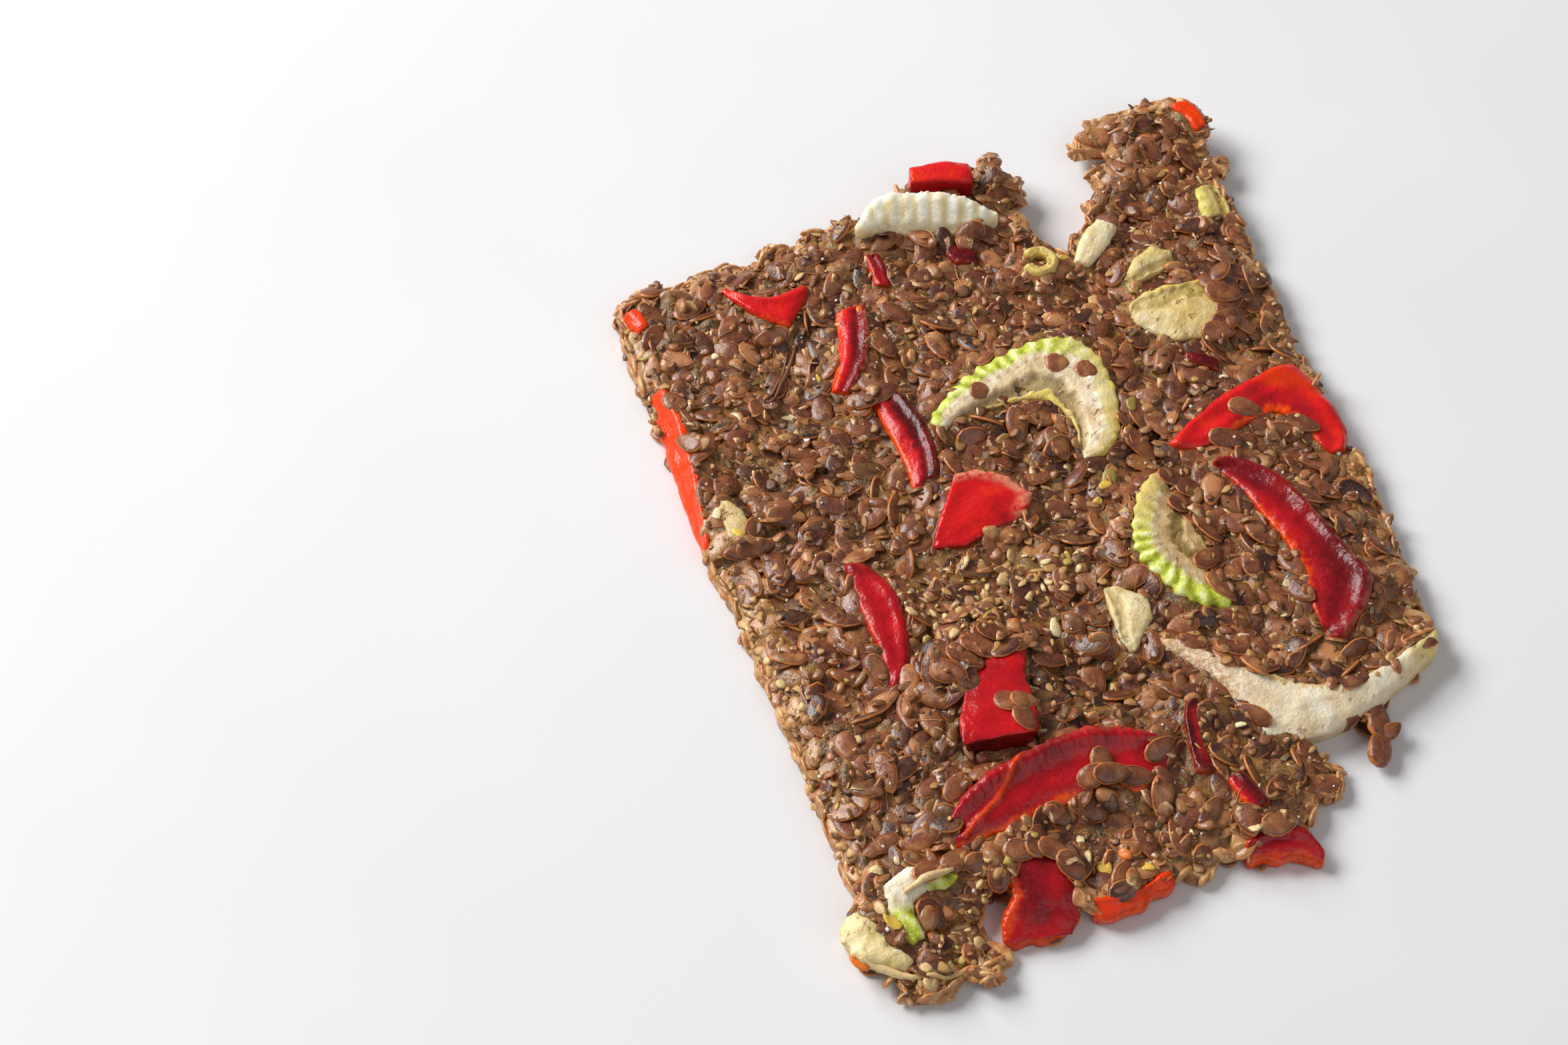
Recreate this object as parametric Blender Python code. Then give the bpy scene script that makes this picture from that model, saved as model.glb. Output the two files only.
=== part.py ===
"""Seed cracker: a thin dried slab of flax seeds in herb paste, knife-cut along its two long sides and broken at
the front and the back, with pieces of red pepper and celery set in it. It lies flat on z = 0, top face up,
front edge towards -Y."""

import math
import random

import bmesh
import bpy
from mathutils import Euler, Vector, geometry, noise

# All sizes below are in millimetres; MM turns them into metres.
MM = 0.001

# Slab
SLAB_THICKNESS = 3.6
WALL_HEIGHT = 1.5
CUT_BEVEL = 1.9
BROKEN_BEVEL = 1.1
GRID_PITCH = 3.4
SWELL_HEIGHT = 0.45
SWELL_PITCH = 9.0
PRONG_START = 42.0
PRONG_SIDE = 20.0
PRONG_LIFT = 1.8
PRONG_LENGTH = 15.0

# Seeds fused to the slab
SEED_LENGTH = 5.0
SEED_WIDTH = 2.7
SEED_HEIGHT = 1.5
SEED_PITCH = 5.5
SEED_PROUD = 0.2
EDGE_SEED_PITCH = 5.0
SEED_RANDOM = 41

# Pieces set in the slab
GAP = 0.3
STATION_PITCH = 3.2
RIB_PITCH = 1.9
RIB_DEPTH = 0.45
TOP_ROUNDING = 0.35
BASE_TAPER = 0.12
CUTTER_TOP = 14.0
CUTTER_BASE = -2.0

# Outline of the slab at z = 0, clockwise from the front left corner
LEFT_CUT = (
    (-39.0, -42.5), (-39.8, -20.0), (-40.2, -2.0), (-41.4, 5.0), (-41.9, 16.0), (-41.8, 34.0), (-41.4, 46.0),
)
BACK_EDGE = (
    (-39.6, 46.8), (-36.8, 49.0), (-33.8, 47.2), (-30.0, 49.0), (-26.0, 49.3), (-22.8, 48.0), (-17.0, 49.6),
    (-10.0, 50.6), (-4.0, 50.8), (-1.2, 51.4), (-0.4, 54.4), (5.0, 54.4), (9.6, 52.8), (11.6, 54.6), (13.4, 52.2),
    (13.0, 45.0), (13.4, 40.6), (14.8, 38.4), (17.0, 36.8), (18.6, 39.6), (21.6, 41.0),
)
PRONG = (
    (22.8, 44.4), (25.2, 46.8), (24.6, 49.2), (28.0, 49.8), (27.6, 52.2), (23.6, 52.6), (24.6, 54.4), (28.2, 56.8),
    (31.0, 56.4), (34.3, 57.2), (38.4, 56.2), (42.0, 54.0), (42.4, 51.2), (40.8, 48.0), (39.6, 42.0),
)
RIGHT_CUT = (
    (40.4, 36.6), (39.8, 28.0), (39.0, 16.0), (38.8, 4.0), (39.2, -6.0), (38.2, -17.0), (37.2, -26.0),
    (36.0, -31.2),
)
FRONT_RIGHT = (
    (28.0, -35.2), (20.0, -37.0), (14.0, -37.0), (12.8, -39.8), (16.6, -41.2), (19.4, -44.0), (17.8, -46.6),
    (14.8, -46.0), (13.6, -48.8), (9.0, -49.6), (5.0, -50.8), (1.6, -50.0), (-1.2, -51.8), (-2.6, -50.6),
    (-9.6, -52.2), (-13.6, -53.6), (-16.2, -50.0), (-17.4, -45.6), (-21.4, -44.6), (-24.2, -45.4),
)
FRONT_LOBE = (
    (-26.8, -48.6), (-27.2, -51.8), (-25.6, -54.6), (-31.2, -55.0), (-33.6, -56.8), (-37.4, -55.4), (-38.4, -51.6),
    (-41.6, -49.6), (-42.0, -47.0),
)

# Rises and hollows of the top face: x, y, radius, height
RELIEF = (
    (-21.0, -19.4, 2.8, 2.4), (-16.6, -16.8, 3.0, 2.8), (-11.8, -14.4, 3.0, 2.2), (-8.4, -19.8, 2.4, -2.2),
    (-1.0, -26.0, 8.5, -1.3), (11.4, 51.4, 2.6, 2.8), (3.6, -43.6, 4.0, 0.9), (-30.0, -8.0, 6.0, 0.7),
    (18.0, -14.0, 3.4, 1.0), (31.0, 46.0, 5.0, 1.0), (-9.0, 34.0, 7.0, 0.6), (9.6, -33.4, 2.4, 1.2),
)

# Pepper pieces. Each has two rails of x, y, z along its top edges and a base height.
PEPPER = {
    "pepper_left_edge": dict(
        left=((-40.9, 31.6, 1.4), (-41.4, 24.0, 1.2), (-41.6, 15.0, 1.2), (-41.4, 6.4, 1.4)),
        right=((-39.2, 31.2, 3.6), (-38.4, 24.0, 4.0), (-39.2, 16.5, 3.8), (-40.6, 7.2, 2.6)), base=0.0),
    "pepper_back_left_corner": dict(
        left=((-41.2, 43.8, 3.0), (-40.7, 41.9, 3.3), (-40.0, 40.2, 3.4)),
        right=((-39.2, 44.2, 4.0), (-38.4, 42.8, 4.3), (-38.3, 41.0, 4.2)), base=1.0),
    "pepper_back_left_patch": dict(
        left=((-28.4, 44.4, 4.0), (-25.4, 41.6, 4.5), (-22.6, 40.3, 4.6), (-17.4, 41.0, 4.2)),
        right=((-27.7, 42.8, 4.0), (-25.0, 37.8, 4.4), (-21.6, 35.0, 4.4), (-17.9, 39.4, 4.0)), base=1.6),
    "pepper_back_strip": dict(
        left=((-15.2, 35.6, 4.0), (-16.5, 30.6, 4.2), (-17.8, 27.4, 4.2), (-19.6, 24.2, 3.8)),
        right=((-11.2, 35.6, 4.2), (-12.4, 30.9, 4.8), (-13.9, 26.6, 4.8), (-17.8, 23.0, 4.0)), base=0.0),
    "pepper_centre_strip": dict(
        left=((-15.7, 23.2, 4.0), (-15.2, 16.5, 4.2), (-14.6, 11.0, 4.2), (-15.1, 6.4, 4.0)),
        right=((-13.9, 24.0, 4.0), (-10.7, 18.5, 4.8), (-10.4, 12.5, 4.9), (-11.3, 7.9, 4.8)), base=0.0),
    "pepper_red_block": dict(
        left=((-9.9, 6.6, 5.2), (-7.2, 6.6, 5.2), (-3.9, 4.4, 4.9), (-1.6, 1.4, 4.5)),
        right=((-15.7, -2.3, 4.4), (-12.0, -3.2, 4.6), (-8.0, -2.0, 4.6), (-4.2, -1.3, 4.3)), base=1.4),
    "pepper_left_strip": dict(
        left=((-26.6, -1.0, 4.2), (-26.8, -8.0, 4.6), (-26.4, -14.2, 4.6), (-27.2, -19.8, 4.2)),
        right=((-24.2, -2.0, 4.2), (-22.0, -6.5, 4.6), (-22.6, -13.0, 4.4), (-24.4, -18.2, 4.2)), base=0.0),
    "pepper_raised_block": dict(
        left=((-16.0, -19.4, 5.0), (-19.4, -23.0, 5.9), (-21.7, -27.0, 6.6), (-22.3, -30.4, 6.8)),
        right=((-9.6, -18.0, 4.8), (-11.8, -22.6, 5.6), (-12.3, -27.2, 6.4), (-13.3, -31.0, 6.6)), base=2.2),
    "pepper_front_long_strip": dict(
        left=((-26.6, -37.8, 5.2), (-22.7, -34.9, 6.2), (-16.4, -33.0, 6.5), (-8.8, -32.1, 6.4), (-3.0, -33.4, 5.8),
              (0.6, -35.8, 4.6)),
        right=((-26.8, -41.3, 4.4), (-21.0, -41.0, 4.4), (-15.5, -39.8, 4.3), (-9.0, -39.5, 4.3),
               (-3.8, -41.0, 4.2), (0.0, -38.2, 4.2)), base=1.8),
    "pepper_dark_sliver": dict(
        left=((4.5, -31.6, 4.6), (2.9, -35.5, 4.6), (2.3, -40.4, 4.2)),
        right=((6.0, -31.6, 4.8), (4.5, -35.6, 4.8), (4.1, -40.8, 4.4)), base=1.4),
    "pepper_front_sliver": dict(
        left=((5.0, -42.2, 4.2), (5.4, -44.6, 4.4), (6.2, -46.8, 4.2)),
        right=((7.4, -41.8, 4.2), (8.1, -44.2, 4.4), (8.8, -46.4, 4.2)), base=1.4),
    "pepper_front_tip": dict(
        left=((4.6, -50.0, 3.2), (8.4, -48.6, 3.6), (11.4, -50.4, 3.0), (12.6, -53.2, 1.8)),
        right=((4.4, -51.6, 2.4), (7.8, -52.6, 2.4), (10.2, -52.9, 2.2), (11.9, -54.2, 1.6)), base=0.2),
    "pepper_front_edge": dict(
        left=((-14.4, -50.9, 3.0), (-10.2, -51.5, 3.0), (-5.0, -50.4, 2.8)),
        right=((-14.6, -53.2, 1.8), (-11.0, -53.6, 1.9), (-5.2, -51.8, 2.0)), base=0.2),
    "pepper_front_hanging": dict(
        left=((-20.6, -42.6, 4.2), (-23.2, -46.4, 3.6), (-24.2, -49.8, 2.8), (-25.5, -52.6, 1.5)),
        right=((-16.6, -43.2, 4.2), (-15.4, -46.8, 3.8), (-15.4, -50.0, 3.0), (-17.6, -54.0, 1.4)), base=0.0),
    "pepper_right_band": dict(
        left=((16.9, 3.5, 4.2), (22.5, 6.7, 4.8), (30.0, 9.0, 4.9), (36.4, 10.4, 4.2), (38.7, 4.2, 3.4),
              (39.0, -1.2, 3.2), (37.4, -3.7, 3.6)),
        right=((18.0, 2.5, 4.0), (21.6, 1.9, 4.3), (26.5, 3.2, 4.6), (31.0, 3.9, 4.6), (33.4, 1.6, 4.4),
               (34.5, -1.8, 4.2), (35.4, -3.6, 4.0)), base=0.0),
    "pepper_right_long_strip": dict(
        left=((20.8, -0.8, 4.0), (22.6, -5.5, 4.4), (23.8, -11.0, 4.6), (24.9, -17.5, 4.6), (23.8, -24.5, 4.4),
              (24.2, -28.4, 4.0)),
        right=((22.4, -0.6, 4.2), (27.1, -4.6, 4.8), (29.6, -12.0, 5.0), (31.2, -18.8, 5.0), (31.7, -24.0, 4.8),
               (25.8, -29.2, 4.0)), base=0.0),
    "pepper_right_sliver": dict(
        left=((23.9, 15.9, 4.0), (25.8, 15.4, 4.3), (27.7, 14.2, 4.0)),
        right=((24.2, 14.3, 4.0), (25.8, 13.2, 4.3), (27.4, 12.2, 4.0)), base=1.6),
    "pepper_back_block": dict(
        left=((0.8, 53.4, 7.2), (4.4, 52.7, 7.6), (8.2, 51.6, 7.4)),
        right=((0.2, 50.9, 7.2), (3.8, 49.8, 7.6), (7.6, 48.3, 7.4)), base=2.0),
    "pepper_prong_tip": dict(
        left=((37.9, 54.6, 5.4), (39.2, 52.0, 5.4), (39.8, 49.6, 5.0)),
        right=((40.4, 54.2, 5.6), (41.6, 52.2, 5.4), (41.5, 50.2, 5.0)), base=3.0),
    "pepper_back_sliver": dict(
        left=((-8.7, 43.6, 4.0), (-8.9, 41.0, 4.3), (-9.0, 38.2, 4.0)),
        right=((-6.8, 43.4, 4.0), (-6.7, 41.0, 4.3), (-6.9, 37.9, 4.0)), base=1.4),
    "pepper_back_shadow_piece": dict(
        left=((1.0, 41.8, 3.8), (1.5, 40.4, 4.0), (2.0, 38.8, 3.8)),
        right=((4.8, 40.6, 3.8), (5.0, 39.4, 4.0), (5.2, 38.0, 3.8)), base=1.4),
}

# Celery pieces, the same way. The left rail is the ribbed outer side where ribs is "side".
CELERY = {
    "celery_centre_crescent": dict(
        left=((-9.8, 15.4, 4.4), (-4.7, 19.2, 5.4), (2.0, 21.4, 5.8), (8.4, 22.2, 5.8), (12.4, 19.8, 5.6),
              (13.4, 14.4, 5.2), (12.2, 8.0, 4.8), (9.2, 4.6, 4.2)),
        right=((-9.0, 14.0, 4.2), (-4.6, 15.2, 4.8), (0.4, 14.9, 5.0), (4.4, 14.2, 5.0), (6.2, 12.2, 4.8),
               (6.9, 9.6, 4.6), (6.6, 7.0, 4.4), (6.4, 4.6, 4.0)), base=0.0, ribs="side"),
    "celery_right_crescent": dict(
        left=((13.8, 0.0, 4.2), (10.4, -3.2, 5.4), (7.8, -7.6, 5.8), (7.0, -11.4, 5.8), (8.3, -15.4, 5.6),
              (10.8, -19.3, 5.2), (14.8, -20.8, 4.2)),
        right=((14.6, -1.2, 4.0), (14.2, -4.5, 4.4), (14.8, -8.5, 4.6), (15.2, -12.0, 4.6), (14.8, -15.2, 4.6),
               (14.4, -17.6, 4.5), (15.6, -19.4, 4.2)), base=0.0, ribs="side"),
    "celery_front_crescent": dict(
        left=((5.6, -24.4, 4.0), (8.0, -28.4, 4.4), (10.2, -32.2, 4.2), (12.2, -38.4, 3.4), (18.5, -39.6, 3.0),
              (25.0, -38.2, 3.0), (30.8, -35.6, 3.0), (35.8, -33.2, 2.8)),
        right=((4.6, -22.2, 4.6), (8.6, -25.4, 5.2), (11.6, -28.9, 5.2), (16.6, -32.2, 4.8), (21.2, -34.8, 4.6),
               (27.8, -34.2, 4.4), (33.2, -32.2, 4.2), (36.6, -30.8, 3.8)), base=0.0, ribs=None),
    "celery_olive_piece": dict(
        left=((1.5, -13.9, 4.2), (0.9, -17.5, 4.6), (0.7, -20.8, 4.4), (1.6, -23.0, 3.8)),
        right=((3.4, -14.4, 4.2), (5.8, -16.9, 4.7), (5.6, -19.4, 4.4), (3.0, -21.9, 3.8)), base=1.4, ribs=None),
    "celery_back_crescent": dict(
        left=((19.9, 22.9, 4.2), (22.6, 18.9, 4.6), (27.4, 17.2, 4.8), (32.6, 19.8, 4.8), (36.0, 26.4, 4.4)),
        right=((20.6, 25.2, 4.4), (24.0, 26.2, 5.2), (28.6, 25.6, 5.4), (32.0, 26.2, 5.0), (34.2, 28.4, 4.6)),
        base=0.0, ribs=None),
    "celery_white_slice": dict(
        left=((-8.8, 46.9, 6.0), (-5.2, 49.3, 8.0), (0.0, 48.2, 8.4), (5.4, 46.0, 8.0), (9.4, 43.5, 5.8)),
        right=((-8.3, 46.0, 5.2), (-5.0, 45.6, 4.6), (-0.8, 44.3, 4.5), (4.4, 42.6, 4.5), (8.9, 42.6, 5.0)),
        base=2.4, ribs="face"),
    "celery_back_right_chip": dict(
        left=((16.5, 34.2, 4.4), (18.8, 37.2, 5.4), (21.6, 39.2, 5.2)),
        right=((18.0, 32.9, 4.2), (20.8, 34.6, 4.8), (23.6, 37.4, 4.8)), base=1.8, ribs=None),
    "celery_prong_root_chip": dict(
        left=((21.4, 29.4, 4.4), (23.4, 31.5, 5.2), (26.4, 32.5, 5.2), (28.6, 31.5, 4.6)),
        right=((22.7, 28.2, 4.2), (24.6, 28.8, 4.6), (26.6, 29.3, 4.6), (28.2, 29.5, 4.2)), base=1.6, ribs=None),
    "celery_prong_edge_chip": dict(
        left=((35.8, 40.6, 4.6), (35.3, 38.0, 4.8), (35.0, 35.6, 4.4)),
        right=((38.8, 41.0, 4.0), (39.2, 38.0, 4.2), (38.8, 35.4, 4.0)), base=0.8, ribs=None),
    "celery_front_green_curl": dict(
        left=((-35.3, -50.4, 3.6), (-36.9, -46.6, 4.4), (-36.2, -43.2, 4.8), (-33.0, -41.9, 4.8),
              (-30.0, -42.9, 4.6), (-28.0, -44.2, 4.2)),
        right=((-33.7, -50.0, 3.4), (-33.9, -47.2, 4.0), (-33.6, -45.8, 4.2), (-32.2, -45.2, 4.2),
               (-30.4, -45.2, 4.2), (-28.6, -45.2, 4.0)), base=1.0, ribs=None),
    "celery_front_yellow_chip": dict(
        left=((-41.7, -45.6, 2.8), (-42.6, -47.6, 3.4), (-41.4, -50.2, 3.2), (-37.0, -53.0, 2.6)),
        right=((-39.4, -44.9, 3.4), (-38.3, -47.4, 4.2), (-38.0, -49.4, 4.0), (-36.0, -52.2, 3.2)),
        base=0.4, ribs=None),
    "celery_left_pale_chip": dict(
        left=((-38.2, 12.2, 4.0), (-38.2, 9.4, 4.2), (-38.4, 6.8, 4.0)),
        right=((-36.9, 11.9, 4.0), (-35.2, 9.2, 4.2), (-36.3, 6.4, 4.0)), base=1.6, ribs=None),
}

# The curled thread of celery at the back edge: centre, radii and opening angles in degrees
CURL_CENTRE = (12.0, 35.0)
CURL_RADII = (1.3, 2.4)
CURL_ANGLES = (-170.0, 130.0)
CURL_HEIGHTS = (4.9, 5.4)
CURL_BASE = 2.8

# Seeds that hang on the outer side of the front crescent: x, y, z, heading in degrees
HANGING_SEEDS = ((25.6, -39.4, 2.0, 75.0), (24.4, -42.8, 1.5, 60.0))

# Linear base colours, roughness
COLOURS = {
    "slab": ((0.085, 0.035, 0.016), 0.6),
    "pepper": ((0.42, 0.012, 0.010), 0.3),
    "celery": ((0.52, 0.48, 0.20), 0.45),
}


def material(name):
    """A Principled material of one of the named colours."""
    colour, roughness = COLOURS[name]
    made = bpy.data.materials.new(name)
    made.use_nodes = True
    shader = made.node_tree.nodes["Principled BSDF"]
    shader.inputs["Base Color"].default_value = (*colour, 1.0)
    shader.inputs["Roughness"].default_value = roughness
    shader.inputs["Metallic"].default_value = 0.0
    return made


def collection(name):
    made = bpy.data.collections.new(name)
    bpy.context.scene.collection.children.link(made)
    return made


def mesh_object(name, shape, home):
    """An object in a collection from a bmesh in millimetres, with outward normals."""
    bmesh.ops.recalc_face_normals(shape, faces=shape.faces)
    bmesh.ops.scale(shape, vec=(MM, MM, MM), verts=shape.verts)
    mesh = bpy.data.meshes.new(name)
    shape.to_mesh(mesh)
    shape.free()
    made = bpy.data.objects.new(name, mesh)
    home.objects.link(made)
    return made


def smoothstep(t):
    t = min(max(t, 0.0), 1.0)
    return t * t * (3.0 - 2.0 * t)


def outline_sides():
    """The outline's sides as point lists, each with its bevel width."""
    return (
        (LEFT_CUT, CUT_BEVEL), (BACK_EDGE, BROKEN_BEVEL), (PRONG, BROKEN_BEVEL), (RIGHT_CUT, CUT_BEVEL),
        (FRONT_RIGHT, BROKEN_BEVEL), (FRONT_LOBE, BROKEN_BEVEL),
    )


def outline_segments():
    """Every straight piece of the outline as start, end and bevel width."""
    points = [(Vector(p), bevel) for side, bevel in outline_sides() for p in side]
    return [(points[i][0], points[(i + 1) % len(points)][0], points[i][1]) for i in range(len(points))]


def inside(point, polygon):
    """Whether a point lies in a polygon, by counting crossings."""
    x, y = point
    found = False
    for i, (x1, y1) in enumerate(polygon):
        x2, y2 = polygon[i - 1]
        if (y1 > y) != (y2 > y) and x < (x2 - x1) * (y - y1) / (y2 - y1) + x1:
            found = not found
    return found


def segment_distance(point, start, end):
    along = end - start
    t = min(max((point - start).dot(along) / along.length_squared, 0.0), 1.0)
    return (point - start - t * along).length


def edge_distance(point, segments):
    """Distance to the nearest side of the outline, and the bevel width there."""
    return min((segment_distance(point, a, b), bevel) for a, b, bevel in segments)


def lift(x, y):
    """How far the prong at the back right corner curls up."""
    if x < PRONG_SIDE:
        return 0.0
    return PRONG_LIFT * smoothstep((y - PRONG_START) / PRONG_LENGTH)


def top_height(x, y):
    """Height of the slab's top face away from its edges."""
    swell = noise.noise(Vector((x, y, 0.0)) / SWELL_PITCH)
    height = SLAB_THICKNESS + SWELL_HEIGHT * swell
    for cx, cy, radius, rise in RELIEF:
        height += rise * math.exp(-((x - cx) ** 2 + (y - cy) ** 2) / radius ** 2)
    return height


def grid_points(pitch, jitter, draw):
    """A jittered triangular grid over the outline's box."""
    corners = [p for side, _ in outline_sides() for p in side]
    low = [min(p[i] for p in corners) for i in (0, 1)]
    high = [max(p[i] for p in corners) for i in (0, 1)]
    row_step = pitch * math.sqrt(3.0) / 2.0
    rows = int((high[1] - low[1]) / row_step) + 1
    columns = int((high[0] - low[0]) / pitch) + 1
    for row in range(rows):
        for column in range(columns):
            x = low[0] + pitch * (column + 0.5 * (row % 2)) + draw.uniform(-jitter, jitter)
            y = low[1] + row_step * row + draw.uniform(-jitter, jitter)
            yield Vector((x, y))


def slab_sheet():
    """The slab as a triangulated sheet, thickened, with its top face raised and its rim bevelled."""
    draw = random.Random(SEED_RANDOM)
    segments = outline_segments()
    corners = [a for a, _, _ in segments]
    points = list(corners)
    for point in grid_points(GRID_PITCH, GRID_PITCH * 0.15, draw):
        if inside(point, corners) and edge_distance(point, segments)[0] > BROKEN_BEVEL:
            points.append(point)
    edges = [(i, (i + 1) % len(corners)) for i in range(len(corners))]
    flat, _, faces, *_ = geometry.delaunay_2d_cdt(points, edges, [], 1, 1e-4)
    shape = bmesh.new()
    under = [shape.verts.new((p.x, p.y, lift(p.x, p.y))) for p in flat]
    over = []
    for p in flat:
        distance, bevel = edge_distance(p, segments)
        full = top_height(p.x, p.y)
        height = WALL_HEIGHT + (full - WALL_HEIGHT) * smoothstep(distance / bevel)
        over.append(shape.verts.new((p.x, p.y, height + lift(p.x, p.y))))
    for face in faces:
        shape.faces.new([under[i] for i in reversed(face)])
        shape.faces.new([over[i] for i in face])
    for a, b in edges:
        shape.faces.new((under[a], under[b], over[b], over[a]))
    return shape


def flatten_underside(shape):
    """Merge the level triangles of the underside into few faces."""
    low = [f for f in shape.faces if all(v.co.z < 1e-4 for v in f.verts)]
    verts = list({v for f in low for v in f.verts})
    edges = list({e for f in low for e in f.edges})
    bmesh.ops.dissolve_limit(shape, angle_limit=0.01, verts=verts, edges=edges)
    bmesh.ops.triangulate(shape, faces=shape.faces)


def smooth_curve(points, count):
    """Points evenly spaced in parameter on a Catmull-Rom curve through the given ones."""
    knots = [Vector(p) for p in points]
    ends = [2 * knots[0] - knots[1], *knots, 2 * knots[-1] - knots[-2]]
    curve = []
    for i in range(count):
        place = i / (count - 1) * (len(knots) - 1)
        k = min(int(place), len(knots) - 2)
        t = place - k
        p0, p1, p2, p3 = ends[k:k + 4]
        curve.append(0.5 * (2 * p1 + (p2 - p0) * t + (2 * p0 - 5 * p1 + 4 * p2 - p3) * t * t
                            + (3 * p1 - p0 - 3 * p2 + p3) * t ** 3))
    return curve


def rail_length(points):
    return sum((Vector(b) - Vector(a)).length for a, b in zip(points, points[1:]))


def station_count(left, ribs):
    """How many cross-sections a piece has: two for each rib, and enough to keep a curl round."""
    pitch = RIB_PITCH / 2.0 if ribs else STATION_PITCH
    return max(len(left), 4, round(rail_length(left) / pitch))


def grown(left, right, margin):
    """Both rails moved apart and lengthened by the gap, the left one by a margin more."""
    wider = []
    for a, b in zip(left, right):
        across = (a - b).normalized()
        wider.append((a + across * (GAP + margin), b - across * GAP))
    for end, inner in ((0, 1), (-1, -2)):
        middle = (wider[end][0] + wider[end][1]) / 2
        outward = (middle - (wider[inner][0] + wider[inner][1]) / 2).normalized() * GAP
        wider[end] = (wider[end][0] + outward, wider[end][1] + outward)
    return [a for a, _ in wider], [b for _, b in wider]


def section(a, b, base, bulge):
    """Six corners of a cross-section: a rounded top between two rail points and a narrower base."""
    rise = Vector((0.0, 0.0, TOP_ROUNDING + bulge))
    low_a = a.lerp(b, BASE_TAPER)
    low_b = b.lerp(a, BASE_TAPER)
    return (a, a.lerp(b, 0.25) + rise, a.lerp(b, 0.75) + rise, b, Vector((low_b.x, low_b.y, base)),
            Vector((low_a.x, low_a.y, base)))


def loft(sections):
    """A closed solid through equal cross-sections."""
    shape = bmesh.new()
    rings = [[shape.verts.new(p) for p in ring] for ring in sections]
    for ring, after in zip(rings, rings[1:]):
        for i in range(len(ring)):
            j = (i + 1) % len(ring)
            shape.faces.new((ring[i], ring[j], after[j], after[i]))
    shape.faces.new(rings[0][::-1])
    shape.faces.new(rings[-1])
    bmesh.ops.triangulate(shape, faces=shape.faces)
    return shape


def piece_rails(left, right, ribs):
    """Smooth rails of a piece, with ribs along the outer side."""
    count = station_count(left, ribs)
    rail_a = smooth_curve(left, count)
    rail_b = smooth_curve(right, count)
    if ribs == "side":
        for i in range(1, count - 1, 2):
            rail_a[i] = rail_a[i] + (rail_a[i] - rail_b[i]).normalized() * RIB_DEPTH
    return rail_a, rail_b


def inlay(name, rails, base, ribs, home):
    """One set-in piece as a lofted solid."""
    sections = []
    for i, (a, b) in enumerate(zip(*rails)):
        bulge = RIB_DEPTH * (i % 2) if ribs == "face" else 0.0
        sections.append(section(a, b, base, bulge))
    return mesh_object(name, loft(sections), home)


def pocket(name, left, right, base, ribs, home):
    """Cutter that leaves the gap round a piece and clears everything above it."""
    outer, inner = grown(*piece_rails(left, right, None), RIB_DEPTH if ribs == "side" else 0.0)
    low = base - GAP if base > GAP else CUTTER_BASE
    sections = []
    for a, b in zip(outer, inner):
        top_a = Vector((a.x, a.y, CUTTER_TOP))
        top_b = Vector((b.x, b.y, CUTTER_TOP))
        sections.append((top_a, top_b, Vector((b.x, b.y, low)), Vector((a.x, a.y, low))))
    cutter = mesh_object(name, loft(sections), home)
    cutter.hide_render = True
    cutter.display_type = "WIRE"
    return cutter


def curl_rails():
    """Rails of the curled thread, as two arcs."""
    start, end = (math.radians(a) for a in CURL_ANGLES)
    rails = []
    for radius, height in zip(reversed(CURL_RADII), CURL_HEIGHTS):
        angles = [start + (end - start) * i / 8 for i in range(9)]
        rails.append([
            (CURL_CENTRE[0] + radius * math.cos(a), CURL_CENTRE[1] + radius * math.sin(a), height) for a in angles])
    return rails


def seed_shape(place, heading, pitch, roll, size):
    """A flax seed: a flat drop, blunt at one end, as a low sphere stretched along its length."""
    shape = bmesh.new()
    bmesh.ops.create_uvsphere(shape, u_segments=6, v_segments=4, radius=0.5)
    for vert in shape.verts:
        along, across, up = vert.co.z, vert.co.x, vert.co.y
        narrowing = 1.0 - 0.5 * max(along, 0.0)
        vert.co = Vector((
            along * SEED_LENGTH * size, across * SEED_WIDTH * narrowing * size, up * SEED_HEIGHT * narrowing))
    turn = rotation(roll, pitch, heading)
    bmesh.ops.rotate(shape, cent=(0, 0, 0), matrix=turn, verts=shape.verts)
    bmesh.ops.translate(shape, vec=place, verts=shape.verts)
    return shape


def rotation(roll, pitch, heading):
    """Rotation matrix from three angles in degrees."""
    return Euler((math.radians(roll), math.radians(pitch), math.radians(heading))).to_matrix()


def footprint(left, right):
    """The outline of a piece seen from above."""
    return [(p.x, p.y) for p in left] + [(p.x, p.y) for p in reversed(right)]


def clear_of_pieces(point, reach, footprints):
    """Whether a seed at a point stays off every set-in piece."""
    for shape in footprints:
        if inside(point, shape):
            return False
        for i, corner in enumerate(shape):
            if segment_distance(point, Vector(shape[i - 1]), Vector(corner)) < reach:
                return False
    return True


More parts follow.
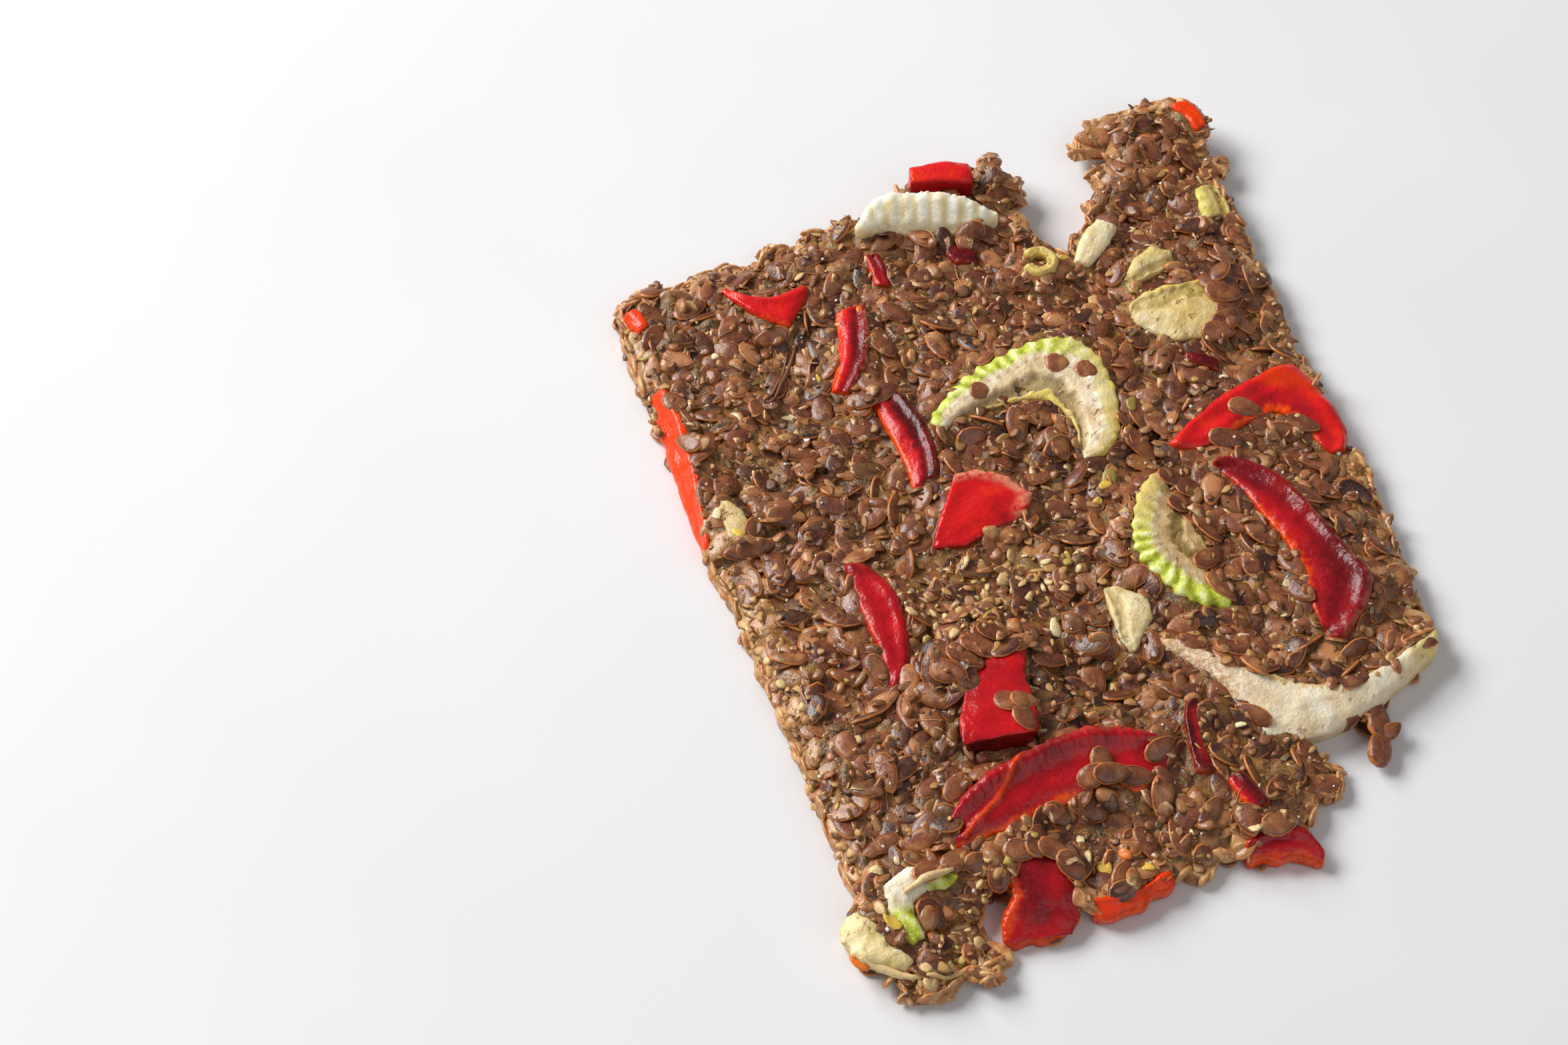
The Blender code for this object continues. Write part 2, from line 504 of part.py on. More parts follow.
def scatter_seeds(footprints, home):
    """Seeds over the top face and along the broken edges, none across a set-in piece."""
    draw = random.Random(SEED_RANDOM)
    segments = outline_segments()
    corners = [a for a, _, _ in segments]
    places = []
    for point in grid_points(SEED_PITCH, SEED_PITCH * 0.22, draw):
        if inside(point, corners) and edge_distance(point, segments)[0] > SEED_WIDTH:
            places.append((point, top_height(point.x, point.y) + SEED_PROUD, 14.0))
    for start, end, bevel in segments:
        steps = int((end - start).length / EDGE_SEED_PITCH)
        if bevel == BROKEN_BEVEL:
            for i in range(steps):
                point = start.lerp(end, (i + 0.5) / steps)
                places.append((point, 0.6 * SLAB_THICKNESS, 10.0))
    count = 0
    kept = []
    for point, height, tilt in places:
        heading = draw.uniform(0.0, 360.0)
        size = draw.uniform(0.82, 1.06)
        pitch = draw.uniform(-tilt, tilt)
        roll = draw.uniform(-tilt, tilt)
        crowded = any((point - other).length < 0.8 * SEED_LENGTH for other in kept)
        if crowded or not clear_of_pieces(point, 0.55 * SEED_LENGTH + GAP, footprints):
            continue
        kept.append(point)
        place = (point.x, point.y, height + lift(point.x, point.y))
        mesh_object(f"seed_{count:03d}", seed_shape(place, heading, pitch, roll, size), home)
        count += 1


def apply_modifiers(target):
    """Put the evaluated mesh in the object's place and drop its modifiers."""
    evaluated = target.evaluated_get(bpy.context.evaluated_depsgraph_get())
    mesh = bpy.data.meshes.new_from_object(evaluated)
    target.modifiers.clear()
    target.data = mesh


def boolean(target, operation, tools, solver):
    """One Boolean of an object with a collection, applied, with the collection's objects then removed."""
    modifier = target.modifiers.new(operation.lower(), "BOOLEAN")
    modifier.operation = operation
    modifier.operand_type = "COLLECTION"
    modifier.collection = tools
    modifier.solver = solver
    apply_modifiers(target)
    for tool in list(tools.objects):
        bpy.data.objects.remove(tool)


def keep_largest_body(target):
    """Drop the loose scraps that a cut leaves."""
    shape = bmesh.new()
    shape.from_mesh(target.data)
    left = set(shape.verts)
    bodies = []
    while left:
        body = {left.pop()}
        front = list(body)
        while front:
            vert = front.pop()
            for edge in vert.link_edges:
                other = edge.other_vert(vert)
                if other not in body:
                    body.add(other)
                    front.append(other)
        left -= body
        bodies.append(body)
    bodies.sort(key=len)
    scraps = [v for body in bodies[:-1] for v in body]
    bmesh.ops.delete(shape, geom=scraps, context="VERTS")
    bmesh.ops.triangulate(shape, faces=shape.faces)
    shape.to_mesh(target.data)
    shape.free()


def give_material(target, made):
    target.data.materials.clear()
    target.data.materials.append(made)


def build_slab(parts, seeds, cutters, footprints):
    """The slab with its fused seeds and a pocket for every piece."""
    shape = slab_sheet()
    flatten_underside(shape)
    slab = mesh_object("cracker_slab", shape, parts)
    scatter_seeds(footprints, seeds)
    boolean(slab, "UNION", seeds, "MANIFOLD")
    boolean(slab, "DIFFERENCE", cutters, "MANIFOLD")
    keep_largest_body(slab)
    give_material(slab, material("slab"))
    return slab


def fuse_hanging_seeds(crescent, seeds):
    """The seeds that cling to the front crescent's outer side."""
    for i, (x, y, z, heading) in enumerate(HANGING_SEEDS):
        mesh_object(f"hanging_seed_{i}", seed_shape((x, y, z), heading, 0.0, 20.0, 1.0), seeds)
    boolean(crescent, "UNION", seeds, "MANIFOLD")


def centre_on_origin(parts):
    """Hang the parts on an empty so that the middle of their box's underside is the origin."""
    corners = [v.co for part in parts.objects for v in part.data.vertices]
    low = [min(c[i] for c in corners) for i in range(3)]
    high = [max(c[i] for c in corners) for i in range(3)]
    rig = bpy.data.objects.new("seed_cracker", None)
    bpy.context.scene.collection.objects.link(rig)
    rig.location = (-(low[0] + high[0]) / 2, -(low[1] + high[1]) / 2, -low[2])
    for part in parts.objects:
        part.parent = rig


def main():
    for old in list(bpy.data.objects):
        bpy.data.objects.remove(old)
    parts = collection("seed_cracker_parts")
    seeds = collection("seeds")
    cutters = collection("cutters")
    looks = {"pepper": material("pepper"), "celery": material("celery")}
    outer, inner = curl_rails()
    celery = {**CELERY, "celery_back_curl": dict(left=outer, right=inner, base=CURL_BASE, ribs=None)}
    footprints = []
    for kind, table in (("pepper", PEPPER), ("celery", celery)):
        for name, sizes in table.items():
            ribs = sizes.get("ribs")
            rails = piece_rails(sizes["left"], sizes["right"], ribs)
            piece = inlay(name, rails, sizes["base"], ribs, parts)
            give_material(piece, looks[kind])
            pocket(f"pocket_{name}", sizes["left"], sizes["right"], sizes["base"], ribs, cutters)
            footprints.append(footprint(*rails))
    build_slab(parts, seeds, cutters, footprints)
    fuse_hanging_seeds(parts.objects["celery_front_crescent"], seeds)
    centre_on_origin(parts)


main()
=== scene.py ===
"""Seed cracker: the look of the slab, its seeds, its pepper and celery pieces, the studio and the camera.
Lengths in this script are in millimetres until a mesh is made."""

import itertools
import math

import bpy
import numpy as np
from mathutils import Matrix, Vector
from mathutils.bvhtree import BVHTree


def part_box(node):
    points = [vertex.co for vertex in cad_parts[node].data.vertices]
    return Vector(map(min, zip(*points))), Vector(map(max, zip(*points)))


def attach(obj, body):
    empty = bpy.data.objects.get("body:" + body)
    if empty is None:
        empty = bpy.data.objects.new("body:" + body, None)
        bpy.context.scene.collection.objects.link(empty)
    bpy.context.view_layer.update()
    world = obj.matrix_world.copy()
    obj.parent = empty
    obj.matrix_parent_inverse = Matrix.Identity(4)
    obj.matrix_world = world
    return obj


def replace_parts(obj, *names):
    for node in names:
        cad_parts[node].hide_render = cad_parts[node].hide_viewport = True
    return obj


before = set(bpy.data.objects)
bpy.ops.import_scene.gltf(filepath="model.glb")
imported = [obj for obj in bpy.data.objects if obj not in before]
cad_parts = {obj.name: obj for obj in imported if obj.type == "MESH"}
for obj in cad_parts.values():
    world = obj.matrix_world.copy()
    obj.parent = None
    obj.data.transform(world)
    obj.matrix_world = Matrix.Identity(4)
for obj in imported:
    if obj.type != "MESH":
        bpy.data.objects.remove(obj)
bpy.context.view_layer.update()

MM = 0.001
TURN = 2.0 * math.pi
# Spacing of the grids over the slab, of the height map that the seeds fall on, and the border round both
GRID = 0.41
FINE = 0.2
MARGIN = 2.0
# Where the vertical rays start, above and below the cracker
ABOVE = 30.0
BELOW = -5.0
# The lowest that a point of a seed or a piece may lie, just off the floor
LOWEST = 0.02
# The size of the faces of the pepper and celery meshes, and the spacing of the celery's ribs
VOXEL = 0.27
RIB_PITCH = 1.9
# Seeds that aren't broken have their cut this many lengths out, where it takes nothing off
WHOLE = 9.0
random = np.random.default_rng(7)


# Small tools


def noise(points, period, seed=0):
    """Smooth noise between -1 and 1 at each point, with the given period in each direction."""
    q = np.asarray(points, float) / np.asarray(period, float) + 173.0
    cell = np.floor(q).astype(np.int64)
    f = q - cell
    f = f * f * (3.0 - 2.0 * f)
    total = np.zeros(len(q))
    for corner in itertools.product((0, 1), repeat=q.shape[1]):
        c = cell + corner
        h = np.full(len(q), seed * 7919 + 12345, np.int64)
        for k in range(q.shape[1]):
            h = (h ^ (c[:, k] * (73856093, 19349663, 83492791)[k])) & 0x7FFFFFFF
            h = (h * 1103515245 + 12345) & 0x7FFFFFFF
            h ^= h >> 13
        weight = np.prod(np.where(corner, f, 1.0 - f), axis=1)
        total += weight * ((h & 0xFFFF) / 32767.5 - 1.0)
    return total


def smooth_step(low, high, t):
    t = np.clip((t - low) / (high - low), 0.0, 1.0)
    return t * t * (3.0 - 2.0 * t)


def hump(t, middle, width):
    return np.exp(-((t - middle) / width) ** 2)


def tree_of(names):
    """A search tree over the meshes of some CAD nodes."""
    points, faces = [], []
    for name in names:
        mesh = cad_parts[name].data
        first = len(points)
        points += [v.co / MM for v in mesh.vertices]
        faces += [[first + i for i in p.vertices] for p in mesh.polygons]
    return BVHTree.FromPolygons(points, faces)


def field(tree, start=ABOVE):
    """Height where a vertical ray first meets the tree, over the grid; nan where it meets nothing."""
    found = np.full(px.shape, np.nan)
    for j, y in enumerate(ys):
        for i, x in enumerate(xs):
            hit = tree.ray_cast((x, y, start), (0.0, 0.0, -math.copysign(1.0, start)))[0]
            if hit is not None:
                found[j, i] = hit.z
    return found


def neighbours(grid):
    """The grid moved one cell each way."""
    padded = np.pad(grid, 1, mode="edge")
    return padded[:-2, 1:-1], padded[2:, 1:-1], padded[1:-1, :-2], padded[1:-1, 2:]


def spread(mask, steps):
    for _ in range(steps):
        mask = mask | np.logical_or.reduce(neighbours(mask))
    return mask


def inset(mask, steps):
    """How far inside a mask each cell lies, in millimetres, up to a number of cells."""
    found = np.zeros(mask.shape)
    for _ in range(steps):
        found += mask
        mask = ~spread(~mask, 1)
    return found * GRID


def swell(grid, steps):
    """The highest value near each cell."""
    for _ in range(steps):
        grid = np.maximum(grid, np.maximum.reduce(neighbours(grid)))
    return grid


def blur(grid, steps):
    for _ in range(steps):
        grid = 0.5 * grid + 0.125 * sum(neighbours(grid))
    return grid


def filled(grid, unknown, steps=160):
    """The grid with its unknown cells grown in from the known ones around them."""
    grid = np.where(unknown, np.nan, grid)
    for _ in range(steps):
        near = np.stack(neighbours(grid))
        count = np.sum(~np.isnan(near), axis=0)
        mean = np.nansum(near, axis=0) / np.maximum(count, 1)
        grid = np.where(unknown & (count > 0), mean, grid)
    return np.where(np.isnan(grid), 0.0, grid)


def sample(grid, x, y, step=GRID):
    """Values of a grid at places, between its cells."""
    u = np.clip((np.asarray(x) - left) / step, 0, grid.shape[1] - 1.001)
    v = np.clip((np.asarray(y) - front) / step, 0, grid.shape[0] - 1.001)
    i, j = u.astype(int), v.astype(int)
    u, v = u - i, v - j
    return ((grid[j, i] * (1 - u) + grid[j, i + 1] * u) * (1 - v)
            + (grid[j + 1, i] * (1 - u) + grid[j + 1, i + 1] * u) * v)


def at(points, grid, step=GRID):
    """Values of a grid under points."""
    return sample(grid, points[:, 0], points[:, 1], step)


def mesh_object(name, points, faces, masks, smooth=True):
    """A mesh object from points in millimetres, with float attributes, riding on the body."""
    mesh = bpy.data.meshes.new(name)
    mesh.from_pydata((np.asarray(points) * MM).tolist(), [], faces)
    for key, values in masks.items():
        layer = mesh.attributes.new(key, "FLOAT", "POINT")
        layer.data.foreach_set("value", np.asarray(values, np.float32).ravel())
    mesh.polygons.foreach_set("use_smooth", [smooth] * len(mesh.polygons))
    mesh.update()
    made = bpy.data.objects.new(name, mesh)
    bpy.context.scene.collection.objects.link(made)
    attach(made, "root")
    return made


# Materials


def rgb(red, green, blue):
    """A linear colour from display values of 0 to 255."""
    values = (red, green, blue)
    return tuple(((c / 255 + 0.055) / 1.055) ** 2.4 if c > 10 else c / 3295 for c in values) + (1.0,)


class Paint:
    """A Principled material put together from short calls. Its colours are display values of 0 to 255."""

    def __init__(self, name, slot, roughness=0.5, coat=0.0, coat_roughness=0.2, specular=0.5, scatter=0.0,
                 reach=1.0, radius=(1.0, 0.45, 0.25)):
        self.material = bpy.data.materials.new(name)
        self.material.use_nodes = True
        self.slot = slot
        self.tree = self.material.node_tree
        self.shader = self.tree.nodes["Principled BSDF"]
        settings = {"Roughness": roughness, "Coat Weight": coat, "Coat Roughness": coat_roughness,
                    "Specular IOR Level": specular, "Subsurface Weight": scatter,
                    "Subsurface Scale": reach * MM, "Subsurface Radius": radius}
        for socket, value in settings.items():
            self.shader.inputs[socket].default_value = value
        self.place = self.tree.nodes.new("ShaderNodeTexCoord").outputs["Object"]

    def feed(self, sockets, values):
        """Links values to sockets, or sets them where they are numbers or colours."""
        for socket, value in zip(sockets, values):
            if isinstance(value, bpy.types.NodeSocket):
                self.tree.links.new(value, socket)
            else:
                socket.default_value = rgb(*value) if isinstance(value, tuple) else value

    def mask(self, name):
        node = self.tree.nodes.new("ShaderNodeAttribute")
        node.attribute_name = name
        return node.outputs["Fac"]

    def noise(self, period, detail=3.0, roughness=0.6):
        node = self.tree.nodes.new("ShaderNodeTexNoise")
        sockets = [node.inputs[name] for name in ("Vector", "Scale", "Detail", "Roughness")]
        self.feed(sockets, (self.place, 1.0 / (period * MM), detail, roughness))
        return node.outputs["Fac"]

    def math(self, operation, a, b=0.0, c=0.0, clamp=False):
        node = self.tree.nodes.new("ShaderNodeMath")
        node.operation = operation
        node.use_clamp = clamp
        self.feed(node.inputs, (a, b, c))
        return node.outputs[0]

    def times(self, a, b, clamp=False):
        return self.math("MULTIPLY", a, b, clamp=clamp)

    def step(self, value, low, high):
        node = self.tree.nodes.new("ShaderNodeMapRange")
        node.interpolation_type = "SMOOTHSTEP"
        self.feed([node.inputs[name] for name in ("Value", "From Min", "From Max")], (value, low, high))
        return node.outputs["Result"]

    def ramp(self, value, *stops):
        """A colour ramp; each stop is its position and its colour."""
        node = self.tree.nodes.new("ShaderNodeValToRGB")
        elements = node.color_ramp.elements
        while len(elements) < len(stops):
            elements.new(0.5)
        for element, (position, *colour) in zip(elements, stops):
            element.position = position
            element.color = rgb(*colour)
        self.feed([node.inputs["Fac"]], [value])
        return node.outputs["Color"]

    def mix(self, factor, a, b, blend="MIX"):
        node = self.tree.nodes.new("ShaderNodeMix")
        node.data_type = "RGBA"
        node.blend_type = blend
        self.feed((node.inputs[0], node.inputs[6], node.inputs[7]), (factor, a, b))
        return node.outputs[2]

    def colour(self, source):
        self.feed([self.shader.inputs["Base Color"]], [source])

    def roughness(self, source, low, high):
        rough = self.math("MULTIPLY_ADD", source, high - low, low)
        self.feed([self.shader.inputs["Roughness"]], [rough])

    def bump(self, source, height):
        node = self.tree.nodes.new("ShaderNodeBump")
        self.feed([node.inputs["Height"], node.inputs["Distance"]], (source, height * MM))
        normal = node.outputs["Normal"]
        self.feed([self.shader.inputs["Normal"], self.shader.inputs["Coat Normal"]], (normal, normal))

    def on(self, piece):
        piece.data.materials.append(self.material)
        return piece


def paste_paint():
    """Dark herb and seed paste: olive brown, with pale film lines round the seeds and tan cut edges."""
    p = Paint("seed paste", "seed_paste", roughness=0.4, coat=0.25, specular=0.35, scatter=0.15, reach=0.6)
    coarse = p.noise(2.2, 4.0, 0.65)
    fine = p.noise(0.5, 3.0, 0.7)
    flecks = p.noise(0.32, 2.0)
    body = p.ramp(coarse, (0.30, 56, 36, 16), (0.44, 88, 56, 26), (0.56, 126, 84, 40), (0.70, 168, 122, 62))
    body = p.mix(p.step(fine, 0.55, 0.75), body, (168, 118, 62))
    body = p.mix(p.step(flecks, 0.60, 0.72), body, (196, 150, 84))
    body = p.mix(p.times(p.step(p.noise(1.5, 2.0), 0.55, 0.68), 0.8), body, (124, 98, 44))
    film = p.times(p.mask("film"), p.step(p.noise(1.3), 0.35, 0.65))
    body = p.mix(p.times(film, 0.4), body, (156, 108, 58))
    crust = p.ramp(coarse, (0.3, 168, 100, 52), (0.5, 200, 144, 84), (0.7, 230, 200, 156))
    p.colour(p.mix(p.mask("crust"), body, crust))
    p.roughness(fine, 0.25, 0.6)
    p.bump(p.math("ADD", p.times(fine, 0.7), p.times(flecks, 0.4)), 0.2)
    return p


def seed_paint():
    """Flax seed hulls: chestnut, dark and tan seeds with painted shade inside a lighter rim (partly dried
    halo, partly painted glow) and pale cut faces.
    """
    p = Paint("flax seed hull", "seed_paste", roughness=0.34, coat=0.28, coat_roughness=0.15, specular=0.4,
              scatter=0.2, reach=0.5)
    tone = p.math("MULTIPLY_ADD", p.math("SUBTRACT", p.noise(1.6), 0.5), 1.2, p.mask("tone"))
    colour = p.ramp(tone, (0.0, 46, 20, 13), (0.25, 72, 34, 21), (0.5, 104, 54, 32), (0.78, 134, 76, 45),
                    (1.0, 176, 118, 74))
    streaks = p.noise(0.28, 2.0)
    colour = p.mix(p.times(p.step(streaks, 0.5, 0.75), 0.25), colour, (176, 112, 70))
    glaze = p.times(p.step(p.noise(2.6, 3.0, 0.55), 0.5, 0.62), 0.24)
    colour = p.mix(glaze, colour, p.mix(p.step(p.noise(6.0), 0.42, 0.58), (196, 134, 88), (166, 124, 60)))
    # Painted shade: a darker band just inside each seed's rim and on its lower side, standing for the shadow
    # lines round the seeds
    painted_edge_shade = p.ramp(p.mask("rim"), (0.0, 255, 255, 255), (0.35, 206, 196, 188), (0.6, 255, 255, 255))
    colour = p.mix(1.0, colour, painted_edge_shade, "MULTIPLY")
    # Lighter amber rim round each seed: partly its dried halo, partly a painted glow of light through the
    # thin edge
    rim = p.times(p.step(p.mask("rim"), 0.45, 1.0), p.step(p.noise(1.7), 0.25, 0.55))
    colour = p.mix(p.times(rim, 0.85), colour, (214, 132, 62))
    crust = p.mix(p.step(p.noise(1.1), 0.35, 0.65), (182, 112, 60), (222, 178, 120))
    colour = p.mix(p.mask("crust"), colour, crust)
    flesh = p.mix(p.step(p.noise(0.6), 0.4, 0.6), (236, 214, 176), (214, 160, 104))
    p.colour(p.mix(p.mask("cut"), colour, flesh))
    p.roughness(streaks, 0.25, 0.55)
    p.bump(p.math("MULTIPLY_ADD", streaks, 0.4, p.noise(0.9, 2.0, 0.5)), 0.09)
    return p


def crumb_paint():
    """Broken hull, kernel and herb bits, told apart by their tone."""
    p = Paint("seed crumb", "seed_paste", coat=0.15)
    colour = p.ramp(p.mask("tone"), (0.0, 82, 66, 32), (0.12, 110, 92, 44), (0.2, 96, 56, 34),
                    (0.5, 134, 84, 48), (0.72, 170, 120, 68), (0.86, 200, 154, 92), (0.95, 236, 208, 152),
                    (1.0, 184, 158, 76))
    p.colour(p.mix(p.times(p.step(p.noise(0.35), 0.4, 0.7), 0.3), colour, (120, 84, 52)))
    p.bump(p.noise(0.2), 0.06)
    return p


def chip_paint():
    """Salt, pale kernels and small bits of vegetable, told apart by their tone."""
    p = Paint("vegetable chip", "celery", roughness=0.4, coat=0.3, scatter=0.2, reach=0.8)
    colour = p.ramp(p.mask("tone"), (0.0, 246, 240, 236), (0.2, 234, 212, 164), (0.4, 226, 186, 76),
                    (0.6, 224, 112, 26), (0.8, 150, 130, 58), (1.0, 190, 196, 70))
    p.colour(p.mix(p.times(p.step(p.noise(0.6), 0.5, 0.7), 0.3), colour, (170, 112, 56)))
    p.bump(p.noise(0.4), 0.1)
    return p


def pepper_paint():
    """Dried red pepper: deep crimson skin, brighter where thin, orange along the cut edges, glossy, with
    painted shade on the walls and a painted highlight along a fold.
    """
    p = Paint("dried red pepper", "red_pepper", roughness=0.25, coat=0.12, coat_roughness=0.08,
              specular=0.24, scatter=0.12, reach=1.2)
    cloud = p.noise(3.2, 3.0, 0.55)
    fine = p.noise(0.5)
    shade = p.math("MULTIPLY_ADD", p.math("SUBTRACT", cloud, 0.5), 0.5, p.mask("shade"))
    skin = p.ramp(shade, (0.0, 72, 10, 14), (0.3, 120, 12, 22), (0.55, 172, 14, 26), (0.8, 208, 22, 26),
                  (1.0, 226, 60, 4))
    skin = p.mix(p.times(p.step(fine, 0.5, 0.75), 0.2), skin, (214, 52, 36))
    # The hot mask: orange cut edges, and on the long front strip a painted highlight along the fold
    edge = p.times(p.mask("hot"), p.step(p.noise(1.5), 0.15, 0.45), clamp=True)
    skin = p.mix(edge, skin, p.ramp(fine, (0.35, 214, 44, 2), (0.65, 230, 88, 6)))
    film = p.times(p.mask("film"), p.step(p.noise(0.9), 0.3, 0.6), clamp=True)
    p.colour(p.mix(film, skin, (228, 150, 118)))
    p.roughness(fine, 0.18, 0.4)
    p.bump(p.math("ADD", p.times(fine, 0.4), p.noise(1.2, 2.0)), 0.16)
    return p


def celery_paint(name="dried celery", scatter=0.35, reach=1.5, radius=(1.0, 0.45, 0.25)):
    """Dried celery: ribbed lime skin with painted highlights on the rib crests, cream pitted face, olive
    inner side and thin browned rims.
    """
    p = Paint(name, "celery", coat=0.25, coat_roughness=0.25, scatter=scatter, reach=reach, radius=radius)
    cloud = p.noise(2.4)
    fine = p.noise(0.5, 3.0, 0.65)
    tan = p.ramp(cloud, (0.3, 186, 144, 86), (0.5, 216, 180, 124), (0.7, 236, 210, 160))
    cream = p.ramp(cloud, (0.3, 248, 237, 206), (0.5, 253, 247, 226), (0.7, 255, 252, 240))
    olive = p.ramp(cloud, (0.3, 108, 82, 36), (0.5, 146, 118, 60), (0.7, 178, 148, 88))
    # The lime skin turns whitish on the rib crests as painted highlight, mixed with random tone from the
    # noise
    ribbed = p.math("MULTIPLY_ADD", p.mask("ribs"), 0.3, p.times(p.noise(1.3), 0.7))
    lime = p.ramp(ribbed, (0.3, 134, 140, 26), (0.44, 184, 194, 42), (0.56, 214, 222, 92),
                  (0.68, 240, 243, 180))
    colour = p.mix(p.mask("white"), tan, cream)
    colour = p.mix(p.mask("olive"), colour, olive)
    colour = p.mix(p.mask("lime"), colour, lime)
    yellow = p.times(p.mask("yellow"), p.step(p.noise(1.4), 0.25, 0.5), clamp=True)
    colour = p.mix(yellow, colour, (222, 198, 96))
    pits = p.times(p.step(p.noise(1.3, 2.0, 0.5), 0.62, 0.72), p.mask("pits"))
    pits = p.times(pits, p.math("SUBTRACT", 1.0, p.times(p.mask("white"), 0.8)))
    colour = p.mix(p.times(pits, 0.6), colour, (160, 112, 60))
    brown = p.times(p.mask("brown"), p.step(fine, 0.35, 0.6), clamp=True)
    colour = p.mix(brown, colour, (176, 116, 56))
    p.colour(p.mix(p.mask("husk"), colour, (124, 66, 40)))
    p.roughness(fine, 0.35, 0.65)
    p.bump(p.math("SUBTRACT", p.times(fine, 0.8), pits), 0.25)
    return p


# Slab


# The pieces that seeds lap over; the others show whole, most of them so small that seeds would hide them
LAPPED = ("pepper_left_edge", "pepper_raised_block", "pepper_front_long_strip", "pepper_front_tip",
          "pepper_front_edge", "pepper_front_hanging", "pepper_back_block", "celery_front_crescent",
          "celery_white_slice")
# Hollows in the paste, each by its centre, its half widths and its depth; the seeds in them are painted
# darker as painted shade
HOLLOWS = ((-3.8, -24.0, 5.0, 4.5, 1.5), (15.2, 10.4, 1.8, 3.6, 1.1), (-29.6, -49.4, 3.0, 3.0, 1.2))
# A piece this far over the slab is tall
TALL = 2.4
veg_names = sorted(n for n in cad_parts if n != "cracker_slab")
low, high = (np.array(c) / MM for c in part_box("cracker_slab"))
left, front = low[0] - MARGIN, low[1] - MARGIN
xs = np.arange(left, high[0] + MARGIN, GRID)
ys = np.arange(front, high[1] + MARGIN, GRID)
px, py = np.meshgrid(xs, ys)
flat = np.stack([px.ravel(), py.ravel()], 1)

slab_tree = tree_of(["cracker_slab"])
slab_top = field(slab_tree)
veg_top = field(tree_of(veg_names))
in_slab = ~np.isnan(slab_top)
veg = ~np.isnan(veg_top) & (np.isnan(slab_top) | (veg_top > slab_top))
clear = veg & ~np.isnan(field(tree_of([n for n in veg_names if n not in LAPPED])))
level = filled(slab_top, spread(veg, 2) | ~in_slab)
base = filled(field(slab_tree, BELOW), ~in_slab)
rim_distance = inset(~spread(~spread(in_slab | veg, 2), 2), 12)
inside = in_slab | (rim_distance > 1.2)
tall = veg & (veg_top > level + TALL)
beyond_veg = inset(~veg, 12)


def mottle(period, seed):
    return noise(flat, period, seed).reshape(px.shape)


# The paste lies under the seeds, climbs to the pepper and celery pieces and laps over their rims in places
veg_depth = blur(inset(veg, 10), 2)
lap = 0.4 + 0.6 * mottle(2.8, 8) + 0.2 * mottle(1.2, 9)
lap = np.minimum(lap, 0.35 * swell(veg_depth, 6)) * smooth_step(0.6, 1.8, rim_distance)
lap = np.where(spread(tall, 4) | spread(clear, 3), 0.2, np.maximum(lap, 0.2))
collar = blur(filled(veg_top, ~veg, 12), 1) + np.clip(0.8 * lap - 0.4, -0.3, 0.4) - 0.42 * beyond_veg
collar = np.minimum(collar, level + np.where(spread(tall, 8), 0.3, 1.5))
lapping = veg_top + np.maximum(-0.55, 0.4 * (1.0 - veg_depth / lap))
bed = np.where(veg, lapping, np.maximum(level - 0.5, collar))
bed = np.where(tall, np.minimum(bed, level + 0.1), bed)
bed = blur(bed, 1) + 0.2 * mottle(3.1, 1) + 0.12 * mottle(1.3, 2)
hollow = np.zeros_like(bed)
for x, y, half_x, half_y, depth in HOLLOWS:
    hollow = np.maximum(hollow, depth * np.exp(-((px - x) / half_x) ** 2 - ((py - y) / half_y) ** 2))
bed -= hollow * ~veg
bed += 0.45 * mottle(8.0, 14) * smooth_step(1.0, 4.0, beyond_veg) * smooth_step(0.5, 3.0, rim_distance)
shown = veg & (veg_depth > lap)

# The height map that seeds fall on
fine_xs = left + FINE * np.arange(int(len(xs) * GRID / FINE) - 1)
fine_ys = front + FINE * np.arange(int(len(ys) * GRID / FINE) - 1)
fine_px, fine_py = np.meshgrid(fine_xs, fine_ys)
heap = sample(np.where(veg, np.maximum(bed, veg_top), bed), fine_px, fine_py)
edge_slope = np.gradient(rim_distance, GRID)
veg_slope = np.gradient(blur(spread(veg, 2).astype(float), 6), GRID)


# Seeds


def seed_template(segments=12, upper=((0.94, 0.40), (0.76, 0.76), (0.44, 0.92)), lower=((0.82, 0.62),)):
    """One flax seed of unit length, width and height, its point towards +X, with its rim marked.
    The rings of the upper and lower face are given by their reach and their share of the height."""
    points, faces, rim = [], [], []

    def ring(reach, height):
        for k in range(segments):
            a = TURN * k / segments
            x = 0.5 * math.cos(a) * reach + 0.04 * reach * max(math.cos(a), 0.0) ** 5
            y = 0.5 * math.sin(a) * reach * (1.0 - 0.2 * math.cos(a))
            points.append((x, y, height))
            rim.append(max(4.0 * reach - 3.0, 0.0))
        return len(points) - segments

    edge = ring(1.0, 0.0)
    for side, rings in ((1, upper), (-1, lower)):
        first = edge
        for reach, rise in rings:
            after = ring(reach, 0.5 * rise * side)
            for k in range(segments):
                m = (k + 1) % segments
                faces.append([first + k, first + m, after + m, after + k][::side])
            first = after
        points.append((0.0, 0.0, 0.47 * side))
        rim.append(0.0)
        for k in range(segments):
            faces.append([first + k, first + (k + 1) % segments, len(points) - 1][::side])
    return np.array(points), faces, np.array(rim)


def turned(yaw, slope_x, slope_y, roll=None):
    """Axes of things that lie on a slope with a heading, as matrices with the axes in their columns."""
    up = np.stack([-slope_x, -slope_y, np.ones_like(yaw)], 1)
    up /= np.linalg.norm(up, axis=1)[:, None]
    ahead = np.stack([np.cos(yaw), np.sin(yaw), np.zeros_like(yaw)], 1)
    ahead -= up * np.sum(ahead * up, 1)[:, None]
    ahead /= np.linalg.norm(ahead, axis=1)[:, None]
    side = np.cross(up, ahead)
    if roll is not None:
        c, s = np.cos(roll)[:, None], np.sin(roll)[:, None]
        side, up = side * c + up * s, up * c - side * s
    return np.stack([ahead, side, up], 2)


